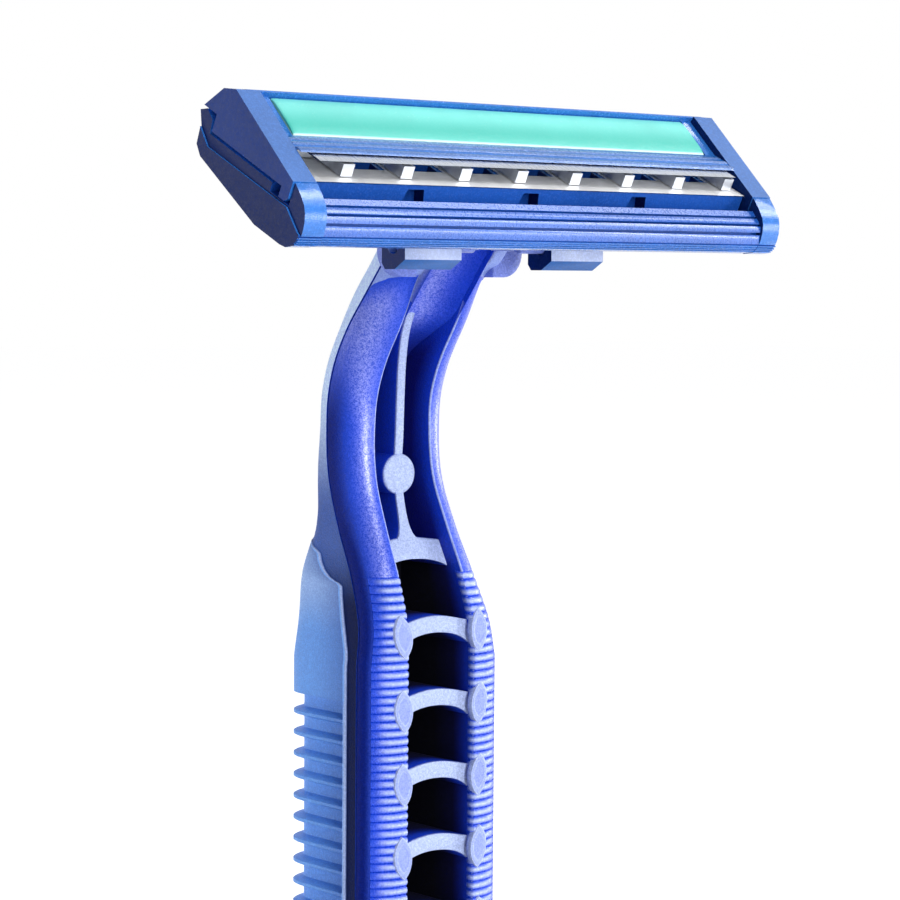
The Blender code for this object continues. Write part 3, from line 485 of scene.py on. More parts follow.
def handle_masks(height, opened, trough, depth_in):
    """Where each colour, each painted light and shade, and the polish lie on half a ring of the handle, by
    height and by how deep the pocket's points lie."""
    masks = {label: np.zeros((len(height), ring_ends[-1])) for label in mask_names}
    masks["panel_share"][:, border_part.start:] = 1.0
    masks["neck_side_and_painted_light_share"][:, band_part] = ease((height - 85.0) / 3.0)
    masks["foot_side_and_painted_shade_share"][:, band_part] = ease((99.0 - height) / 9.0)
    masks["band_share"][:, band_part] = ease((88.2 - height) / 4.5)
    # The rails' dark outer side, partly their own colour and partly painted shade where they turn from the
    # lamps, darker toward the groove line and lighter up the neck.
    rails = masks["rail_side_and_painted_shade_share"]
    under_ledge = ease((ledge_height - height) / 2.0)
    rails[:, rail_part] = ease((rail_shares - 0.45) / 0.4)[None, :] * under_ledge * 0.7
    ramp = np.array((0.12, 0.3, 0.52, 0.75, 0.92, 1.0, 1.0, 1.0))[None, :]
    rails[:, rail_part.stop - 6:rail_part.stop + 2] += ramp * (0.3 + 0.7 * ease((90.0 - height) / 4.5))
    masks["rail_side_and_painted_shade_share"] = rails = np.minimum(rails, 1.0)
    crest = np.interp(height, (84.0, 90.0, 96.0, 100.0, 103.0), (0.34, 0.28, 0.20, 0.40, 0.56))
    spread = 0.21 + 0.12 * ease((height - 97.0) / 5.0)
    shine = np.exp(-((rail_shares[None, :] - crest) / spread) ** 2)
    masks["gloss_share"][:, rail_part] = shine * ease((ledge_height - height) / 1.5)
    masks["gloss_share"][:, floor_part] = trough * np.exp(-((floor_shares[None, :] - 0.2) / 0.4) ** 2)
    # Pockets: painted light on the walls near their edge, painted shade deeper in, and painted shadow far
    # down in the grip's pockets.
    pocket = slice(0, wall_part.stop)
    shut = opened * (1 - trough)
    grip = ease((rung_height_at(0) + 0.2 - height) / 1.2)
    masks["painted_wall_light_share"][:, pocket] = shut * ease(depth_in / 0.25)
    masks["painted_shade_share"][:, pocket] = shut * ease((depth_in - 0.2) / 1.7)
    masks["painted_shadow_share"][:, pocket] = shut * grip * ease((depth_in - 0.5) / 2.4)
    # Painted shadow in the groove lines.
    masks["painted_shadow_share"][:, line_part.start + 2:line_part.start + 4] = 0.9
    # Painted highlight along the pockets' edges and along the panel's border.
    masks["painted_sheen_share"][:, arris_part] = 0.75 * opened
    rim = 0.9 * ease((90.0 - height) / 3.0)
    ribbed = 0.30 * ease((handle_top - rib_first + rib_lead + 0.05 - height) / 0.1)
    masks["painted_sheen_share"][:, border_part] = np.concatenate((rim, ribbed), axis=1)
    # Painted light on the upper part of the side panel, and below it painted shade along the panel's front
    # edge.
    masks["neck_side_and_painted_light_share"][:, panel_part] = 0.5 * ease((height - 81.5) / 4.0)
    fade = 0.7 * (1 - np.linspace(0.0, 1.0, 12)) ** 1.5
    masks["foot_side_and_painted_shade_share"][:, panel_part.start:panel_part.start + 12] = fade
    masks["neck_side_and_painted_light_share"][:, rail_part] += 0.5 * ease((height - ledge_height) / 0.12)
    rails[:, rail_part.start:rail_part.stop + 2] *= 1 - 0.75 * ease((height - 96.0) / 5.0)
    return masks


def handle_surface(rib_pitch, rib_depth):
    """The handle as one closed skin and its masks. Each height is a ring: pocket floor, pocket wall, rounded
    rail, groove line, blasted band, panel border, side and back; the other half is its mirror."""
    z, inset = handle_rows(rib_pitch, rib_depth)
    sizes = sections(z)
    at = as_columns(sizes)
    height = z[:, None]
    opened = ease((height - ladder_low) / 0.05)
    trough = ease((height - (handle_top - 8.8)) / 3.6)
    sink = ease((fine_top - height) / 0.1) * ease((height - ladder_low - 0.4) / 0.1) * fine_sink
    parts = (pocket_columns(z, at, opened, trough, sink), rail_columns(at, opened, sink),
             side_columns(z, sizes, inset))
    half_x = np.concatenate([value for x, y in parts for value in x], axis=1)
    half_y = np.concatenate([value for x, y in parts for value in y], axis=1)
    half_y = np.minimum(half_y, back_limit)
    half_z = np.repeat(height, ring_ends[-1], axis=1)
    half_x[:, -1] = 0.0

    rounded = slice(arris_part.start, rail_part.stop)
    reach = np.linspace(0.0, 1.0, rounded.stop - rounded.start)[None, :]
    arch = 1.15 * np.sqrt(np.maximum(0.0, 1 - reach ** 2)) * np.exp(-((height - ledge_height) / 1.5) ** 2)
    step = 0.22 * ease((height - ledge_height) / 0.12)
    half_z[:, rounded] += arch
    half_y[:, rounded] -= step * np.sin(np.pi * np.clip(0.2 + 0.75 * reach, 0, 1))
    masks = handle_masks(height, opened, trough, half_y[:, :wall_part.stop] - at.front)

    round_in = 1 - (1 - np.minimum(height, tail_round) / tail_round) ** 2
    round_in = tail_round * (1 - np.sqrt(np.clip(round_in, 0.0, 1.0)))
    edge = at.front + at.drop
    middle = (at.front + edge + at.side + at.back) / 2
    half_x = half_x * (1 - round_in / at.half)
    half_y = middle + (half_y - middle) * (1 - round_in / ((edge + at.side + at.back - at.front) / 2))

    ring = np.stack((half_x, half_y, half_z), axis=-1)
    ring = np.concatenate((ring, ring[:, -2:0:-1] * np.array((-1.0, 1.0, 1.0))), axis=1)
    masks = {label: np.concatenate((value, value[:, -2:0:-1]), axis=1) for label, value in masks.items()}
    return skin(ring), masks


def rail_rib_surface(pitch, height):
    """Fine ribs over both rails, with the mask of the painted highlight on their crests: the lowered rail's
    own section pushed out by half round ribs along the height, height sqrt(1 - (2t - 1)^2), and tucked in at
    both sides."""
    count = int((fine_top - ladder_low - 0.6) / pitch)
    inside = np.array((0.0, 0.05, 0.14, 0.30, 0.5, 0.70, 0.86, 0.95))
    z = (fine_top - (np.arange(count)[:, None] + inside[None, :]) * pitch).ravel()[::-1]
    lift = np.tile(np.sqrt(np.maximum(0.0, 1 - (2 * inside - 1) ** 2)), count)[::-1] * height
    at = as_columns(sections(z))
    turn = np.concatenate((np.linspace(0.0, fine_reach - 0.03, 11), (fine_reach - 0.006,)))
    turn = turn[None, :] * math.pi / 2
    land = at.channel + rail_land
    round_x = land + (at.half - land) * np.sin(turn)
    round_y = at.front + at.drop * (1 - np.cos(turn))
    x = np.concatenate((at.channel, at.channel, at.channel + 0.02, round_x), axis=1)
    y = np.concatenate((at.front + 0.75, at.front + 0.4, at.front + 0.08, round_y), axis=1)
    out = np.concatenate(((-1.0, -1.0, -0.7), np.sin(turn[0])))[None, :]
    face = np.concatenate(((0.0, 0.0, -0.7), -np.cos(turn[0])))[None, :]
    held = np.concatenate(((0.1, 0.75, 1.0), np.ones(12)))[None, :]
    sunk = (fine_sink - 0.02) * np.concatenate(((0.0, 0.0, 0.6), np.ones(12)))[None, :]
    push = lift[:, None] * held - sunk
    points = np.stack((x + out * push, y + face * push, np.repeat(z[:, None], x.shape[1], axis=1)), axis=-1)
    under = points.copy()
    under[..., 0] = under[..., 0] - 0.22 * out
    under[..., 1] = under[..., 1] - 0.22 * face
    inner = np.concatenate(((0.2, 0.8, 1.0), 1 - ease((np.linspace(0.0, 1.0, 12) - 0.35) / 0.5)))
    inner = np.concatenate((inner, 0 * inner))
    # Painted highlight along each rib's crest, strongest toward the pocket.
    crest = ((lift / height)[:, None] ** 7 * inner[None, :]).ravel()
    right = skin(np.concatenate((points, under[:, ::-1]), axis=1))
    return joined([right, mirrored(right)]), {"painted_crest_highlight": np.concatenate((crest, crest))}


def pad_surface():
    """Leaf-shaped pads beside each rung with the mask of the painted highlight along their rim: r, theta on a
    leaf outline, x = w cos|cos|^0.55, z = h sin, with a flat middle, a low rim and a steep edge."""
    theta = np.linspace(0.0, 2 * np.pi, 37)[:-1][None, :]
    radius = np.array((0.02, 0.45, 0.60, 0.66, 0.74, 0.90, 0.97, 1.0, 1.02))[:, None]
    level = np.array((0.06, 0.06, 0.06, 0.075, 0.11, 0.10, 0.07, -0.02, -0.35))[:, None]
    rim = np.array((0.0, 0.0, 0.0, 0.6, 0.15, 0.3, 1.0, 1.0, 0.0))[:, None]
    shells = []
    shares = []
    for index in range(1, rung_count + 1):
        z = rung_height_at(index)
        height = z - 0.25 + radius * 1.50 * np.sin(theta)
        front = sections(height.ravel()).front.reshape(height.shape)
        leaf = 0.76 * np.cos(theta) * np.abs(np.cos(theta)) ** 0.55
        lean = 0.10 * np.sin(theta)
        x = 3.40 + radius * (leaf + lean)
        bend = 0.10 * np.maximum(0.0, x - 3.3) ** 2
        points = np.stack((x, front - level + bend, height + 0 * x), axis=-1)
        shell = skin(points[::-1], ends=True)
        shells += [shell, mirrored(shell)]
        share = np.repeat(rim[::-1], 36, axis=1).ravel()
        shares += [share, share]
    return joined(shells), {"painted_rim_highlight": np.concatenate(shares)}


def bar_masks(depths, count, grip):
    """Masks round a bar's section from how deep its points lie: painted sheen in front, painted light on the
    walls, painted shade deeper and painted shadow far in.
    """
    depths = np.tile(np.asarray(depths)[None, :], (count, 1))
    return {"painted_sheen_share": 1 - ease((depths - 0.06) / 0.14), "painted_wall_light_share": ease((depths - 0.1) / 0.2),
            "painted_shade_share": ease((depths - 0.3) / 1.7), "painted_shadow_share": grip * ease((depths - 0.6) / 2.4)}


def rung_surface(arch_rise):
    """Rungs of the ladder with their masks: a rounded bar section in y and z carried across x on a parabola,
    z = arch (1 - (x / half)^2), with round corners under its ends. Rung 0 closes the neck's pocket."""
    shells = []
    masks = []
    across = np.concatenate((
        np.linspace(-1.0, -0.6, 9), np.linspace(-0.5, 0.5, 11), np.linspace(0.6, 1.0, 9)))[:, None]
    flare = 0.40 * np.abs(across) ** 5
    lift = arch_rise * (1 - across ** 2) - arch_rise / 2
    for index in range(0, rung_count + 1):
        z = rung_height_at(index)
        at = section_at(z)
        deep, thick, wider, corner = (0.5, 0.58, 0.14, 0.35) if index else (1.0, 0.74, 0.6, 0.9)
        near = at.front + at.depth * deep
        far = pocket_floor(np.array((z,)))[0] + 0.3
        depths = np.array((0.0, 0.03, 0.12, 0.22, 0.9, 2.4, far - near))
        side_s = np.array((0.86, 0.96, 1.0, 1.0, 1.0, 1.0, 1.0))
        loop_d = np.concatenate((depths, depths[::-1]))[None, :]
        loop_s = np.concatenate((side_s, -side_s[::-1]))[None, :]
        below = np.where(loop_s < 0, 1.0, corner)
        heights = z + lift + loop_s * thick + np.sign(loop_s) * flare * below
        x = np.repeat(across * (at.channel + wider), loop_d.shape[1], axis=1)
        slope = np.gradient(sections(np.array((z - 0.5, z + 0.5))).front)[0]
        y = near + loop_d - 0.12 * across ** 2 + slope * (heights - z) * (loop_d < 2.5)
        shells.append(skin(np.stack((x, y, heights), axis=-1)))
        masks.append(bar_masks(loop_d[0], len(across), 1.0 if index else 0.0))
    masks = {label: np.concatenate([mask[label].ravel() for mask in masks]) for label in masks[0]}
    return joined(shells), masks


def web_surface():
    """Web down the middle of the neck with its masks: a thin wall with rounded front edges, wider where it
    runs into the first rung, and its round boss."""
    low = rung_height_at(0) + 0.85
    high = handle_top - web_top + 2.1
    z = np.linspace(low, high, 44)
    at = sections(z)
    near = at.front + at.depth + 0.02 + 0.9 * ease((z - high + 1.8) / 1.8)
    wide = 0.35 + 0.62 * np.exp(-(z - low) / 0.55) + 0.06 * np.exp((z - high) / 0.8)
    wide = wide * (1 - 0.85 * ease((z - high + 1.3) / 1.3))
    depths = np.array((0.0, 0.03, 0.12, 0.22, 0.9, 1.6))
    side_x = np.array((0.82, 0.95, 1.0, 1.0, 1.0, 1.0))
    loop_d = np.concatenate((depths, depths[::-1]))
    loop_x = np.concatenate((-side_x, side_x[::-1]))
    y = near[:, None] + loop_d[None, :]
    y[:, 5:7] = (pocket_floor(z) + 0.3)[:, None]
    wall = skin(np.stack((wide[:, None] * loop_x[None, :], y, np.repeat(z[:, None], 12, axis=1)), axis=-1))
    masks = bar_masks(loop_d, len(z), 0.0)
    centre = handle_top - disc_drop
    at = section_at(centre)
    near = at.front + at.depth - 0.1
    far = pocket_floor(np.array((centre,)))[0] + 0.3
    theta = np.linspace(0.0, 2 * np.pi, 49)[:-1][None, :]
    radius = np.array((0.02, 0.6, 1.22, 1.32, 1.39, 1.42, 1.42, 1.42))[:, None]
    level = np.array((0.0, 0.0, 0.0, 0.02, 0.07, 0.15, 0.25, far - near))[:, None]
    boss = np.stack((radius * np.cos(theta), near + level + 0 * theta, centre + radius * np.sin(theta)),
                    axis=-1)
    boss_masks = bar_masks(np.repeat(level, 48, axis=1).ravel(), 1, 0.0)
    return (joined([wall, skin(boss)]),
            {label: np.concatenate((masks[label].ravel(), boss_masks[label].ravel())) for label in masks})


def rounded_plate(x_low, x_high, y_low, y_high, z_low, z_high, corner, soft):
    """A plate with one large round lower corner, and its two faces drawn in by a soft edge."""
    turn = np.linspace(0.0, np.pi / 2, 9)
    x = np.concatenate(((x_low,), x_high - corner + corner * np.sin(turn), (x_high, x_low)))
    z = np.concatenate(((z_low,), z_low + corner - corner * np.cos(turn), (z_high, z_high)))
    middle = np.array(((x_low + x_high) / 2, (z_low + z_high) / 2))
    shrink = np.array((soft, 0.0, 0.0, soft))[:, None]
    levels = np.array((y_low, y_low + soft, y_high - soft, y_high))[:, None]
    px = x[None, :] - shrink * np.sign(x[None, :] - middle[0])
    pz = z[None, :] - shrink * np.sign(z[None, :] - middle[1])
    return skin(np.stack((px, levels + 0 * px, pz), axis=-1))


def rod(radius, low, high, y, z, soft):
    """A round pin along x with soft ends."""
    theta = np.linspace(0.0, 2 * np.pi, 25)[:-1][None, :]
    r = np.array((radius - soft, radius, radius, radius - soft))[:, None]
    x = np.array((low, low + soft, high - soft, high))[:, None]
    return skin(np.stack((x + 0 * theta, y + r * np.cos(theta), z + r * np.sin(theta)), axis=-1))


def yoke_surface():
    """Arms, stub pins and ears at the top of the neck that carry the head."""
    front_top = section_at(handle_top).front + rail_drop / 2
    y = np.array((pivot_y - 1.0, pivot_y - 1.0, pivot_y - 0.4, front_top, front_top, pivot_y - 0.7))
    z = np.array((pivot_z, handle_top - 0.6, handle_top, handle_top, pivot_z - 0.3, pivot_z - 0.3))
    x = np.array((arm_low, arm_low + 0.06, arm_high - 0.06, arm_high))[:, None]
    soft = np.array((arm_soft, 0.0, 0.0, arm_soft))[:, None]
    cy, cz = y.mean(), z.mean()
    arm = skin(np.stack((x + 0 * y, y - soft * np.sign(y - cy), z - soft * np.sign(z - cz)), axis=-1))
    pin = rod(pin_radius, arm_low, pin_reach, pivot_y, pivot_z, 0.08)
    ear = rounded_plate(ear_low, ear_high, ear_front, ear_back, handle_top - ear_drop, handle_top - 0.02,
                        ear_round, 0.06)
    shells = [arm, pin, ear]
    return joined(shells + [mirrored(shell) for shell in shells])


def strip_surface():
    """Lubricating strip with the masks of a painted highlight along its lower edge and of its deeper lower
    part: a low crown across its width, 1 - |2v - 1|^5, closed by rounded ends, on the bed of the cap."""
    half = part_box("lubricating_strip")[1][0] / mm
    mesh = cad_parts["lubricating_strip"].data
    count = len(mesh.vertices)
    flat = np.empty(count * 3)
    mesh.vertices.foreach_get("co", flat)
    place = flat.reshape(-1, 3)[:, 1:] / mm
    along = np.array((1.0, 1.0)) / math.sqrt(2)
    out = np.array((-1.0, 1.0)) / math.sqrt(2)
    reach = place @ along
    level = place @ out
    start, end = reach.min(), reach.max()
    top = level.max()
    v = np.concatenate(((0.0, 0.004, 0.02, 0.05), np.linspace(0.1, 0.9, 15), (0.95, 0.98, 0.996, 1.0)))
    crown = 0.16 * (1 - np.abs(2 * v - 1) ** 5)
    across = start + (end - start) * v
    lift = top - 0.16 + crown
    base_across = np.array((end, start + 1.2, start))
    base_lift = np.array((top - 0.7, top - 0.7, top - 0.32))
    ring_across = np.concatenate((across, base_across))
    ring_lift = np.concatenate((lift, base_lift))
    sides = half - np.array((0.0, 0.02, 0.08, 0.2, 0.6))
    x = np.concatenate((-sides, np.linspace(-half + 1.5, half - 1.5, 9), sides[::-1]))
    drop = np.concatenate(((0.14, 0.06, 0.02, 0.0, 0.0), np.zeros(9), (0.0, 0.0, 0.02, 0.06, 0.14)))
    shown = np.concatenate((np.ones(len(v)), np.zeros(3)))
    lifts = ring_lift[None, :] - drop[:, None] * shown[None, :]
    y = ring_across[None, :] * along[0] + lifts * out[0]
    z = ring_across[None, :] * along[1] + lifts * out[1]
    rim = np.concatenate(((1.0, 1.0, 0.8, 0.0), np.zeros(22)))
    rim = np.repeat(rim[None, :], len(x), axis=0)
    fade = 1 - ease((np.linspace(0.1, 0.9, 15) - 0.25) / 0.6)
    low = np.repeat(np.concatenate(((0.0, 0.0, 0.3, 0.9), fade, np.zeros(7)))[None, :], len(x), axis=0)
    return skin(np.stack((x[:, None] + 0 * y, y, z), axis=-1)), {"painted_rim_highlight": rim, "low_share": low}


def guard_depth(place):
    """How far a point lies inside the guard's outline, in mm: its least distance from the outline's lines."""
    start = guard_line[:-1]
    run = guard_line[1:] - start
    point = np.array((place.y, place.z)) / mm
    share = np.clip(((point - start) * run).sum(axis=1) / (run * run).sum(axis=1), 0.0, 1.0)
    return np.linalg.norm(start + share[:, None] * run - point, axis=1).min()


def cap_bar_surface():
    """Two low ridges on the cap's front bar and its lip over the upper blade: half ellipses, w cos a along
    the bar and h sin a out of it, carried across x."""
    turn = np.linspace(0.0, np.pi, 13)
    x = np.array((-bar_half, -bar_half + 0.04, bar_half - 0.04, bar_half))[:, None]
    shrink = np.array((0.7, 1.0, 1.0, 0.7))[:, None]
    shells = []
    for y, z, lean, wide, high in cap_ridges:
        along = np.array((math.cos(lean), math.sin(lean)))
        out = np.array((-math.sin(lean), math.cos(lean)))
        ring = np.array((y, z)) + wide * np.cos(turn)[:, None] * along + high * np.sin(turn)[:, None] * out
        middle = ring.mean(axis=0)
        shells.append(skin(np.stack((x + 0 * turn, middle[0] + shrink * (ring[:, 0] - middle[0]),
                                     middle[1] + shrink * (ring[:, 1] - middle[1])), axis=-1)))
    return joined(shells)


def finish_and_painted_light_index(middle, normal):
    """Which of finish_and_painted_light_names a face of the head takes, from its middle and its direction."""
    x, y, z = abs(middle.x) / mm, middle.y / mm, middle.z / mm
    inside = x < end_inner
    if abs(normal.x) > 0.7:
        name = "end" if x > end_outer or z < hooks_below else "inner"
    elif y > hooks_front and normal.y < -0.7 and z < hook_face_top:
        name = "front"
    elif y > hooks_front and z < hooks_top:
        name = "belly"
    elif inside and y < guard_back and z > guard_low and guard_depth(middle) > groove_depth:
        name = "trough"
    elif not inside and normal.z > 0.5 and normal.y < -0.5:
        name = "top"
    elif inside and y < guard_front and z > guard_low:
        name = "guard"
    elif x < end_outer and guard_back < y < trough_back and trough_low < z < trough_high:
        name = "trough"
    else:
        name = "body"
    return finish_and_painted_light_names.index(name)


def moulding(node, name, edge_round):
    """A merged copy of a frame piece whose flat faces are joined, with a small rounding along its edges and
    the finishes, painted shade and painted highlights of its faces."""
    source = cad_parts[node]
    mesh = bpy.data.meshes.new(name)
    work = bmesh.new()
    work.from_mesh(source.data)
    bmesh.ops.remove_doubles(work, verts=work.verts, dist=2e-6)
    bmesh.ops.dissolve_limit(work, angle_limit=math.radians(0.6), verts=work.verts, edges=work.edges)
    bmesh.ops.recalc_face_normals(work, faces=work.faces)
    for face in work.faces:
        face.material_index = finish_and_painted_light_index(face.calc_center_median(), face.normal)
    work.to_mesh(mesh)
    work.free()
    made = bpy.data.objects.new(name, mesh)
    bpy.context.scene.collection.objects.link(made)
    bevel = made.modifiers.new("edge_round", "BEVEL")
    bevel.width = edge_round
    bevel.segments = 2
    bevel.limit_method = "ANGLE"
    bevel.angle_limit = math.radians(28)
    bevel.use_clamp_overlap = True
    bevel.harden_normals = False
    mesh.shade_smooth()
    mesh.set_sharp_from_angle(angle=math.radians(40))
    return made


def group(name, inputs, outputs):
    """An empty node group with named sockets: (name, kind, default) in, (name, kind) out."""
    made = bpy.data.node_groups.new(name, "ShaderNodeTree")
    for label, kind, value in inputs:
        socket = made.interface.new_socket(label, in_out="INPUT", socket_type=kind)
        socket.default_value = value
    for label, kind in outputs:
        made.interface.new_socket(label, in_out="OUTPUT", socket_type=kind)
    return made, made.nodes.new("NodeGroupInput"), made.nodes.new("NodeGroupOutput")


def math_node(tree, operation, first, second=None, clamp=False):
    """A math node on sockets or numbers."""
    node = tree.nodes.new("ShaderNodeMath")
    node.operation = operation
    node.use_clamp = clamp
    for index, value in enumerate((first, second)):
        if value is None:
            continue
        if isinstance(value, (int, float)):
            node.inputs[index].default_value = value
        else:
            tree.links.new(value, node.inputs[index])
    return node.outputs[0]


def noise(tree, vector, scale, detail, roughness=0.5):
    """Noise over a vector, about one feature per 1 / scale metres."""
    node = tree.nodes.new("ShaderNodeTexNoise")
    node.inputs["Detail"].default_value = detail
    node.inputs["Roughness"].default_value = roughness
    tree.links.new(vector, node.inputs["Vector"])
    if isinstance(scale, (int, float)):
        node.inputs["Scale"].default_value = scale
    else:
        tree.links.new(scale, node.inputs["Scale"])
    return node.outputs["Fac"]


def mapped(tree, value, low, high, to_low, to_high):
    """A value moved from one range to another and held there."""
    node = tree.nodes.new("ShaderNodeMapRange")
    node.clamp = True
    tree.links.new(value, node.inputs["Value"])
    for label, number in (("From Min", low), ("From Max", high), ("To Min", to_low), ("To Max", to_high)):
        if isinstance(number, (int, float)):
            node.inputs[label].default_value = number
        else:
            tree.links.new(number, node.inputs[label])
    return node.outputs["Result"]


def mixed(tree, share, first, second, blend="MIX"):
    """Two colours mixed by a share; each may be a colour or a socket."""
    node = tree.nodes.new("ShaderNodeMix")
    node.data_type = "RGBA"
    node.blend_type = blend
    for identifier, value in (("Factor_Float", share), ("A_Color", first), ("B_Color", second)):
        socket = next(s for s in node.inputs if s.identifier == identifier)
        if isinstance(value, bpy.types.NodeSocket):
            tree.links.new(value, socket)
        else:
            socket.default_value = value
    return next(s for s in node.outputs if s.identifier == "Result_Color")


def blasted_group():
    """Blasted mould texture: fine pits of two sizes as a height, bright specks where both are high, which are
    grain and painted glints, and a slow tone."""
    tree, source, target = group("blasted_texture", [
        ("Vector", "NodeSocketVector", (0.0, 0.0, 0.0)), ("Grain", "NodeSocketFloat", 9500.0)],
        [("Height", "NodeSocketFloat"), ("Painted Glint Specks", "NodeSocketFloat"), ("Tone", "NodeSocketFloat")])
    vector = source.outputs["Vector"]
    fine = noise(tree, vector, source.outputs["Grain"], 2.0, 0.6)
    coarse_scale = math_node(tree, "MULTIPLY", source.outputs["Grain"], 0.42)
    coarse = noise(tree, vector, coarse_scale, 1.0)
    height = math_node(tree, "ADD", math_node(tree, "MULTIPLY", fine, 0.65),
                       math_node(tree, "MULTIPLY", coarse, 0.35))
    speck_scale = math_node(tree, "MULTIPLY", source.outputs["Grain"], 1.15)
    speck = noise(tree, vector, speck_scale, 0.0)
    painted_glint_specks = mapped(tree, math_node(tree, "MULTIPLY", speck, fine), 0.27, 0.42, 0.0, 1.0)
    tone = noise(tree, vector, 140.0, 2.0)
    tree.links.new(height, target.inputs["Height"])
    tree.links.new(painted_glint_specks, target.inputs["Painted Glint Specks"])
    tree.links.new(tone, target.inputs["Tone"])
    return tree


def brushed_group():
    """Ground steel: fine lines square to the edge as a height, and a broken tone along the blade."""
    tree, source, target = group("ground_lines", [
        ("Vector", "NodeSocketVector", (0.0, 0.0, 0.0)), ("Lines", "NodeSocketFloat", steel_lines)],
        [("Height", "NodeSocketFloat"), ("Tone", "NodeSocketFloat")])
    stretch = tree.nodes.new("ShaderNodeMapping")
    stretch.inputs["Scale"].default_value = (1.0, 0.04, 0.04)
    tree.links.new(source.outputs["Vector"], stretch.inputs["Vector"])
    lines = noise(tree, stretch.outputs["Vector"], source.outputs["Lines"], 2.0, 0.7)
    along = tree.nodes.new("ShaderNodeMapping")
    along.inputs["Scale"].default_value = (0.1, 1.0, 1.0)
    tree.links.new(source.outputs["Vector"], along.inputs["Vector"])
    tone = noise(tree, along.outputs["Vector"], 900.0, 2.0)
    tree.links.new(lines, target.inputs["Height"])
    tree.links.new(tone, target.inputs["Tone"])
    return tree


def shared(maker, name):
    """A node group made once and then reused."""
    return bpy.data.node_groups.get(name) or maker()


def base_material(name):
    """A material with its shader, and Object coordinates ready."""
    made = bpy.data.materials.new(name)
    made.use_nodes = True
    tree = made.node_tree
    shader = tree.nodes["Principled BSDF"]
    place = tree.nodes.new("ShaderNodeTexCoord")
    return made, tree, shader, place.outputs["Object"]


def placed_group(tree, made, vector, **values):
    """A node group placed in a material with its own values."""
    node = tree.nodes.new("ShaderNodeGroup")
    node.node_tree = made
    tree.links.new(vector, node.inputs["Vector"])
    for key, value in values.items():
        node.inputs[key].default_value = value
    return node


def bump(tree, shader, height, strength, distance):
    """Height to the shader's normal."""
    node = tree.nodes.new("ShaderNodeBump")
    node.inputs["Strength"].default_value = strength
    node.inputs["Distance"].default_value = distance
    tree.links.new(height, node.inputs["Height"])
    tree.links.new(node.outputs["Normal"], shader.inputs["Normal"])


def with_alpha(colour, factor=1.0):
    """A colour as four numbers, lightened or darkened by a factor."""
    return tuple(min(1.0, channel * factor) for channel in colour) + (1.0,)


def blasted_plastic(name, colour, grain, painted_glint_specks, depth, rough, gloss, masks=(), polish=0.0):
    """Moulded plastic with a blasted texture: two close tones, pale specks that are partly painted glints,
    uneven roughness, a fine bump. Each mask is an attribute's name with the colour and the roughness that it
    brings in, several of them painted light and shade; the dark band and rail sides have less gloss. Where
    gloss_share is set the plastic is polished."""
    made, tree, shader, vector = base_material(name)
    texture = placed_group(tree, shared(blasted_group, "blasted_texture"), vector, Grain=grain)
    tone = mapped(tree, texture.outputs["Tone"], 0.35, 0.65, 0.0, 1.0)
    base = mixed(tree, tone, with_alpha(colour, 0.9), with_alpha(colour, 1.1))
    # Pale specks: painted glints over the grain.
    pale = with_alpha([0.4 + 0.6 * channel for channel in colour])
    base = mixed(tree, math_node(tree, "MULTIPLY", texture.outputs["Painted Glint Specks"], painted_glint_specks), base, pale)
    level = mapped(tree, texture.outputs["Height"], 0.35, 0.65, rough - 0.06, rough + 0.08)
    # Lighter where the bump is high: grain, with painted glints.
    grains = mapped(tree, texture.outputs["Height"], 0.46, 0.62, 0.0, 1.0)
    base = mixed(tree, math_node(tree, "MULTIPLY", grains, 0.5), base, with_alpha(colour, 1.5))
    if polish:
        read = tree.nodes.new("ShaderNodeAttribute")
        read.attribute_name = "gloss_share"
        coat = mapped(tree, texture.outputs["Height"], 0.42, 0.58, 0.2 * polish, polish)
        tree.links.new(math_node(tree, "MULTIPLY", read.outputs["Fac"], coat), shader.inputs["Coat Weight"])
        shader.inputs["Coat Roughness"].default_value = 0.38
        shader.inputs["Coat IOR"].default_value = 2.6
    shader.inputs["Specular IOR Level"].default_value = gloss
    dull = None
    for label, other, matt in masks:
        read = tree.nodes.new("ShaderNodeAttribute")
        if label in ("band_share", "rail_side_and_painted_shade_share"):
            share = read.outputs["Fac"]
            dull = share if dull is None else math_node(tree, "MAXIMUM", dull, share)
        read.attribute_name = label
        grained = mixed(tree, grains, with_alpha(other, 0.92), with_alpha(other, 1.30))
        base = mixed(tree, read.outputs["Fac"], base, grained)
        share = math_node(tree, "MULTIPLY", read.outputs["Fac"], matt)
        level = math_node(tree, "ADD", level, share, clamp=True)
    if dull is not None:
        tree.links.new(mapped(tree, dull, 0.0, 1.0, gloss, 0.2 * gloss), shader.inputs["Specular IOR Level"])
    tree.links.new(base, shader.inputs["Base Color"])
    tree.links.new(level, shader.inputs["Roughness"])
    bump(tree, shader, texture.outputs["Height"], 1.0, depth)
    return made


def ground_steel(name, colour, rough_low, rough_high):
    """Ground stainless steel: fine lines across the blade and a broken tone along it."""
    made, tree, shader, vector = base_material(name)
    texture = placed_group(tree, shared(brushed_group, "ground_lines"), vector, Lines=steel_lines)
    base = mixed(tree, mapped(tree, texture.outputs["Tone"], 0.3, 0.7, 0.0, 1.0),
                 with_alpha(colour, 0.86), with_alpha(colour, 1.1))
    tree.links.new(base, shader.inputs["Base Color"])
    rough = mapped(tree, texture.outputs["Height"], 0.3, 0.7, rough_low, rough_high)
    tree.links.new(rough, shader.inputs["Roughness"])
    shader.inputs["Metallic"].default_value = 1.0
    bump(tree, shader, texture.outputs["Height"], 0.5, steel_bump)
    return made


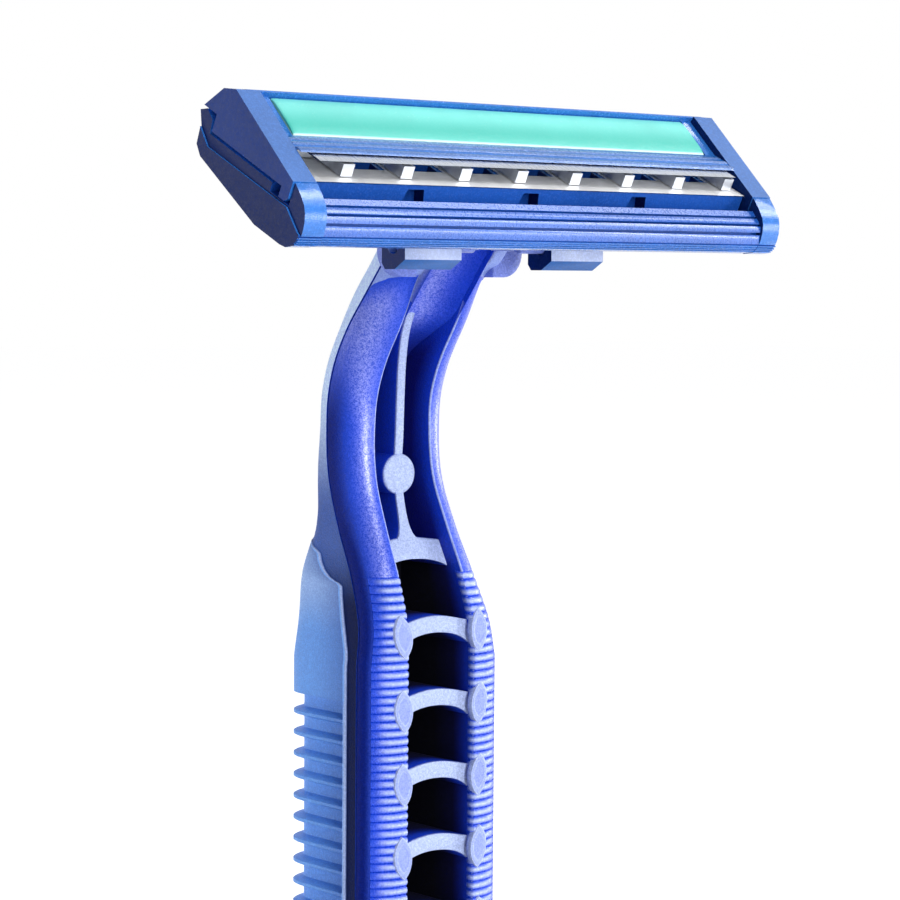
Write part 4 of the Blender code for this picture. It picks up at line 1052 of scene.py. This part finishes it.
def strip_material(name, colour):
    """Lubricating strip: an even waxy green-blue with a cloudy tone, small pores and a soft sheen."""
    made, tree, shader, vector = base_material(name)
    cloud = noise(tree, vector, 260.0, 3.0)
    base = mixed(tree, mapped(tree, cloud, 0.35, 0.65, 0.0, 1.0),
                 with_alpha(colour, 0.93), with_alpha(colour, 1.07))
    pores = noise(tree, vector, 5200.0, 2.0, 0.6)
    base = mixed(tree, mapped(tree, pores, 0.62, 0.8, 0.0, 0.35), base,
                 with_alpha([0.6 + 0.4 * channel for channel in colour]))
    low = tree.nodes.new("ShaderNodeAttribute")
    low.attribute_name = "low_share"
    deep = with_alpha((colour[0] * 0.20, colour[1] * 0.66, colour[2] * 0.60))
    base = mixed(tree, math_node(tree, "MULTIPLY", low.outputs["Fac"], 0.9), base, deep)
    # Painted highlight along the strip's lower edge.
    rim = tree.nodes.new("ShaderNodeAttribute")
    rim.attribute_name = "painted_rim_highlight"
    base = mixed(tree, rim.outputs["Fac"], base, with_alpha([0.5 + 0.5 * channel for channel in colour]))
    tree.links.new(base, shader.inputs["Base Color"])
    tree.links.new(mapped(tree, pores, 0.3, 0.7, 0.42, 0.58), shader.inputs["Roughness"])
    bump(tree, shader, pores, 0.5, head_bump)
    return made


mask_names = ("panel_share", "neck_side_and_painted_light_share", "foot_side_and_painted_shade_share", "band_share", "rail_side_and_painted_shade_share", "painted_wall_light_share",
              "painted_shade_share", "painted_shadow_share", "painted_sheen_share", "gloss_share")


def finish_node(node, *finishes):
    """A carried-over frame piece gets finishes in its slots."""
    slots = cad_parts[node].data.materials
    slots.clear()
    for finish in finishes:
        slots.append(finish)


def handle_plastic(settings):
    """The handle's plastic with all its masks, made once."""
    name = "handle_plastic_looks"
    return bpy.data.materials.get(name) or blasted_plastic(
        name, settings.colour, handle_grain, 0.04, handle_bump, 0.30, 0.16, (
            ("panel_share", settings.panel_colour, 0.06), ("neck_side_and_painted_light_share", settings.strip_colour, 0.06),
            ("foot_side_and_painted_shade_share", settings.foot_side_and_painted_shade_colour, 0.0), ("band_share", settings.band_colour, 0.08),
            ("rail_side_and_painted_shade_share", settings.rail_side_and_painted_shade_colour, 0.1), ("painted_wall_light_share", settings.painted_wall_light_colour, 0.1),
            ("painted_shade_share", settings.painted_shade_colour, 0.1), ("painted_shadow_share", settings.painted_shadow_colour, 0.3),
            ("painted_sheen_share", settings.painted_sheen_colour, 0.0)), 1.0)


def rib_plastic(settings):
    """The handle's plastic on the fine ribs: glossy valleys and a painted highlight on the crests."""
    return blasted_plastic("rib_plastic_looks", settings.colour, handle_grain, 0.05, rib_bump, 0.26, 0.35, (
        ("painted_crest_highlight", settings.painted_sheen_colour, 0.0),))


def pad_plastic(settings):
    """The handle's plastic on the pads: a middle painted half way to the sheen colour, inside a painted
    highlight along the rim.
    """
    middle = [0.5 * a + 0.5 * b for a, b in zip(settings.painted_sheen_colour, settings.colour)]
    return blasted_plastic("pad_plastic_looks", middle, handle_grain, 0.2, pad_bump, 0.3, 0.42, (
        ("painted_rim_highlight", settings.painted_sheen_colour, 0.0),))


def head_plastics(settings):
    """The head's plastics by name. Each is the head's colour or one of its own, lighter or darker, several of
    them painted shade and one a painted highlight, with its roughness and gloss; the glossiest ones have the
    shallower bump."""
    colour = np.array(settings.colour)
    looks = {
        "head_plastic": (colour, 0.22, 0.45),
        # The cap's and the platform's ends: partly a darker colour of their own, partly painted shade.
        "cap_end": (settings.cap_end_colour, 0.45, 0.05),
        "platform_end": (settings.end_colour, 0.45, 0.04),
        # Painted shade under the hooks, and a painted highlight on their front.
        "hook_belly": (colour * 0.7, 0.4, 0.1),
        "hook_front": (colour * 0.62 + 0.34, 0.35, 0.4),
        # Painted shade in the guard's grooves and the trough.
        "trough": (colour * (0.4, 0.5, 0.72), 0.4, 0.12),
        "wall_top": (colour * 0.75 + 0.03, 0.35, 0.3),
        # Painted shade on the inner sides of the end walls and in their grooves.
        "inner_end": (colour * (0.1, 0.12, 0.22), 0.4, 0.05),
        "guard": (colour * (0.5, 0.62, 0.85), 0.28, 0.8),
        "cap_bar": (colour * 0.8 + 0.05, 0.26, 0.6)}
    made = {}
    for name, (tint, rough, gloss) in looks.items():
        depth = smooth_bump if gloss > 0.5 else head_bump
        made[name] = blasted_plastic(name + "_looks", tint, head_grain, 0.04, depth, rough, gloss)
    return made


def set_masks(made, masks):
    """A piece's masks as point attributes."""
    for label, values in masks.items():
        layer = made.data.attributes.new(label, "FLOAT", "POINT")
        layer.data.foreach_set("value", values.astype(np.float32).ravel())


def finish_piece(made, material, body):
    """Material, shared slot and body of a new piece."""
    made.data.materials.append(material)
    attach(made, body)


class RAZOR_OT_handle(bpy.types.Operator):
    """Build the handle's skin with its rails, groove lines, side panels and large ribs"""

    bl_idname = "razor.handle"
    bl_label = "Handle"

    def execute(self, context):
        settings = context.scene.razor_handle
        shell, masks = handle_surface(settings.rib_pitch / mm, settings.rib_depth / mm)
        made = put("handle_shell", shell, 34.0)
        set_masks(made, masks)
        finish_piece(made, handle_plastic(settings), "handle_body")
        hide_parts("handle")
        return {"FINISHED"}


class RAZOR_OT_rail_ribs(bpy.types.Operator):
    """Build the fine ribs on the rails and the leaf-shaped pads between them"""

    bl_idname = "razor.rail_ribs"
    bl_label = "Rail Ribs and Pads"

    def execute(self, context):
        settings = context.scene.razor_handle
        shell, masks = rail_rib_surface(settings.fine_pitch / mm, settings.fine_height / mm)
        ribs = put("rail_ribs", shell, 60.0)
        set_masks(ribs, masks)
        finish_piece(ribs, rib_plastic(settings), "handle_body")
        shell, masks = pad_surface()
        pads = put("grip_pads", shell, 40.0)
        set_masks(pads, masks)
        finish_piece(pads, pad_plastic(settings), "handle_body")
        return {"FINISHED"}


class RAZOR_OT_ladder(bpy.types.Operator):
    """Build the rungs across the grip, the neck's web with its round boss, and the yoke"""

    bl_idname = "razor.ladder"
    bl_label = "Ladder, Web and Yoke"

    def execute(self, context):
        settings = context.scene.razor_handle
        for name, (shell, masks) in (("ladder_rungs", rung_surface(settings.rung_arch / mm)),
                                     ("neck_web", web_surface())):
            made = put(name, shell, 40.0)
            set_masks(made, masks)
            finish_piece(made, handle_plastic(settings), "handle_body")
        yoke = put("yoke_arms", yoke_surface(), 40.0)
        # Painted sheen over the whole yoke.
        set_masks(yoke, {"painted_sheen_share": np.full(len(yoke.data.vertices), 0.45)})
        finish_piece(yoke, handle_plastic(settings), "handle_body")
        return {"FINISHED"}


class RAZOR_OT_finger(bpy.types.Operator):
    """Finish the return finger"""

    bl_idname = "razor.finger"
    bl_label = "Return Finger"

    def execute(self, context):
        finish_node("return_finger", handle_plastic(context.scene.razor_handle))
        return {"FINISHED"}


class RAZOR_OT_head(bpy.types.Operator):
    """Build the cap and the platform with rounded moulded edges"""

    bl_idname = "razor.head"
    bl_label = "Cap and Platform"

    def execute(self, context):
        settings = context.scene.razor_head
        plastics = head_plastics(settings)
        for node, changed in (
                ("cap", {"end": "cap_end", "top": "wall_top", "inner": "inner_end"}),
                ("platform", {"end": "platform_end", "belly": "hook_belly", "front": "hook_front",
                              "trough": "trough", "inner": "inner_end", "guard": "guard"})):
            made = moulding(node, node + "_moulding", settings.edge_round)
            for finish in finish_and_painted_light_names:
                made.data.materials.append(plastics[changed.get(finish, "head_plastic")])
            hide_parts(node)
            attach(made, "head_body")
        ridges = put("cap_front_ridges", cap_bar_surface(), 40.0)
        finish_piece(ridges, plastics["cap_bar"], "head_body")
        return {"FINISHED"}


class RAZOR_OT_blades(bpy.types.Operator):
    """Finish the two blades and the spacer comb between them"""

    bl_idname = "razor.blades"
    bl_label = "Blades and Spacer"

    def execute(self, context):
        colour = context.scene.razor_head.steel_colour
        steel = ground_steel("blade_steel_looks", colour, 0.22, 0.36)
        comb = ground_steel("spacer_steel_looks", [channel * 0.95 for channel in colour], 0.3, 0.5)
        lower = ground_steel("lower_blade_looks", [min(1.0, channel * 1.8) for channel in colour], 0.45, 0.6)
        finish_node("lower_blade", lower)
        finish_node("upper_blade", steel)
        finish_node("spacer", comb)
        return {"FINISHED"}


class RAZOR_OT_strip(bpy.types.Operator):
    """Build the crowned lubricating strip"""

    bl_idname = "razor.strip"
    bl_label = "Lubricating Strip"

    def execute(self, context):
        shell, masks = strip_surface()
        made = put("strip_crown", shell, 30.0)
        set_masks(made, masks)
        gel = strip_material("strip_gel_looks", context.scene.razor_head.strip_colour)
        finish_piece(made, gel, "head_body")
        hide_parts("lubricating_strip")
        return {"FINISHED"}


def lamp(name, power, size, place):
    """A soft rectangular lamp, width by height, that looks at the neck."""
    light = bpy.data.lights.new(name, "AREA")
    light.energy = power
    light.shape = "RECTANGLE"
    light.size, light.size_y = size
    made = bpy.data.objects.new(name, light)
    bpy.context.scene.collection.objects.link(made)
    made.location = place
    made.rotation_mode = "QUATERNION"
    made.rotation_quaternion = (Vector(lamp_target) - Vector(place)).to_track_quat("-Z", "Y")


def seen_rays(tree):
    """1 for rays from the camera, from gloss and through glass, and 0 for the light on the object."""
    path = tree.nodes.new("ShaderNodeLightPath")
    seen = math_node(tree, "MAXIMUM", path.outputs["Is Camera Ray"], path.outputs["Is Glossy Ray"])
    return math_node(tree, "MAXIMUM", seen, path.outputs["Is Transmission Ray"])


def floor_material(colour):
    """Pale floor: diffuse, with a plain glow for the camera, glossy and transmitted rays, so that it shows
    near white and still takes a shadow."""
    made = bpy.data.materials.new("floor_looks")
    made.use_nodes = True
    tree = made.node_tree
    tree.nodes.clear()
    seen = seen_rays(tree)
    diffuse = tree.nodes.new("ShaderNodeBsdfDiffuse")
    diffuse.inputs["Color"].default_value = with_alpha(colour)
    glow = tree.nodes.new("ShaderNodeEmission")
    glow.inputs["Color"].default_value = (1.0, 1.0, 1.0, 1.0)
    tree.links.new(math_node(tree, "MULTIPLY", seen, floor_glow), glow.inputs["Strength"])
    both = tree.nodes.new("ShaderNodeAddShader")
    out = tree.nodes.new("ShaderNodeOutputMaterial")
    tree.links.new(diffuse.outputs[0], both.inputs[0])
    tree.links.new(glow.outputs[0], both.inputs[1])
    tree.links.new(both.outputs[0], out.inputs["Surface"])
    return made


def sky(strength):
    """Even light from all sides, and plain white where the camera, gloss or glass looks past the object."""
    world = bpy.data.worlds.new("even_light")
    bpy.context.scene.world = world
    world.use_nodes = True
    tree = world.node_tree
    back = tree.nodes["Background"]
    back.inputs["Color"].default_value = (1.0, 1.0, 1.0, 1.0)
    tree.links.new(mapped(tree, seen_rays(tree), 0.0, 1.0, strength, 1.0), back.inputs["Strength"])


def camera():
    """The photograph's camera, from its place, direction and up."""
    ahead = Vector(camera_ahead)
    right = ahead.cross(Vector(camera_up)).normalized()
    up = right.cross(ahead).normalized()
    data = bpy.data.cameras.new("photo_camera")
    data.lens = camera_lens
    data.sensor_width = 36.0
    data.clip_start = 0.001
    made = bpy.data.objects.new("photo_camera", data)
    bpy.context.scene.collection.objects.link(made)
    turned = Matrix((right, up, -ahead)).transposed().to_4x4()
    turned.translation = Vector(camera_place)
    made.matrix_world = turned
    bpy.context.scene.camera = made


class RAZOR_OT_stage(bpy.types.Operator):
    """Set up the floor, the lamps and the camera"""

    bl_idname = "razor.stage"
    bl_label = "Stage"

    def execute(self, context):
        settings = context.scene.razor_stage
        mesh = bpy.data.meshes.new("floor")
        corners = [(x * floor_half, y * floor_half, floor_level)
                   for x, y in ((-1, -1), (1, -1), (1, 1), (-1, 1))]
        mesh.from_pydata(corners, [], [(0, 1, 2, 3)])
        floor = bpy.data.objects.new("floor", mesh)
        context.scene.collection.objects.link(floor)
        mesh.materials.append(floor_material(settings.floor_colour))
        sky(settings.air_light)
        lamp("key", settings.key_power, (0.22, 0.50), (-0.10, -0.62, 0.27))
        lamp("fill", settings.fill_power, (0.09, 0.17), (0.42, -0.47, 0.095))
        lamp("side", settings.side_power, (0.22, 0.22), (-0.38, 0.50, 0.12))
        lamp("edge", settings.edge_power, (0.12, 0.20), (0.60, -0.04, 0.12))
        lamp("top", settings.top_power, (0.11, 0.30), (0.39, -0.22, 0.50))
        camera()
        context.scene.view_settings.view_transform = "Standard"
        return {"FINISHED"}


class RAZOR_PT_panel(bpy.types.Panel):
    """Lists the steps that build the razor"""

    bl_label = "Razor"
    bl_idname = "RAZOR_PT_panel"
    bl_space_type = "VIEW_3D"
    bl_region_type = "UI"
    bl_category = "Razor"

    def draw(self, context):
        column = self.layout.column()
        for step in steps:
            column.operator(step.bl_idname)


steps = (RAZOR_OT_handle, RAZOR_OT_rail_ribs, RAZOR_OT_ladder, RAZOR_OT_finger, RAZOR_OT_head,
         RAZOR_OT_blades, RAZOR_OT_strip, RAZOR_OT_stage)
settings_groups = (("razor_handle", RazorHandleSettings), ("razor_head", RazorHeadSettings),
                   ("razor_stage", RazorStageSettings))


def register():
    """Register the settings, steps and panel."""
    for name, kind in settings_groups:
        bpy.utils.register_class(kind)
        setattr(bpy.types.Scene, name, bpy.props.PointerProperty(type=kind))
    for kind in steps + (RAZOR_PT_panel,):
        bpy.utils.register_class(kind)


def unregister():
    """Take them away again."""
    for kind in (RAZOR_PT_panel,) + steps[::-1]:
        bpy.utils.unregister_class(kind)
    for name, kind in settings_groups[::-1]:
        delattr(bpy.types.Scene, name)
        bpy.utils.unregister_class(kind)


def main():
    """Run every step in order."""
    register()
    bpy.ops.razor.handle()
    bpy.ops.razor.rail_ribs()
    bpy.ops.razor.ladder()
    bpy.ops.razor.finger()
    bpy.ops.razor.head()
    bpy.ops.razor.blades()
    bpy.ops.razor.strip()
    bpy.ops.razor.stage()


if __name__ == "__main__":
    main()
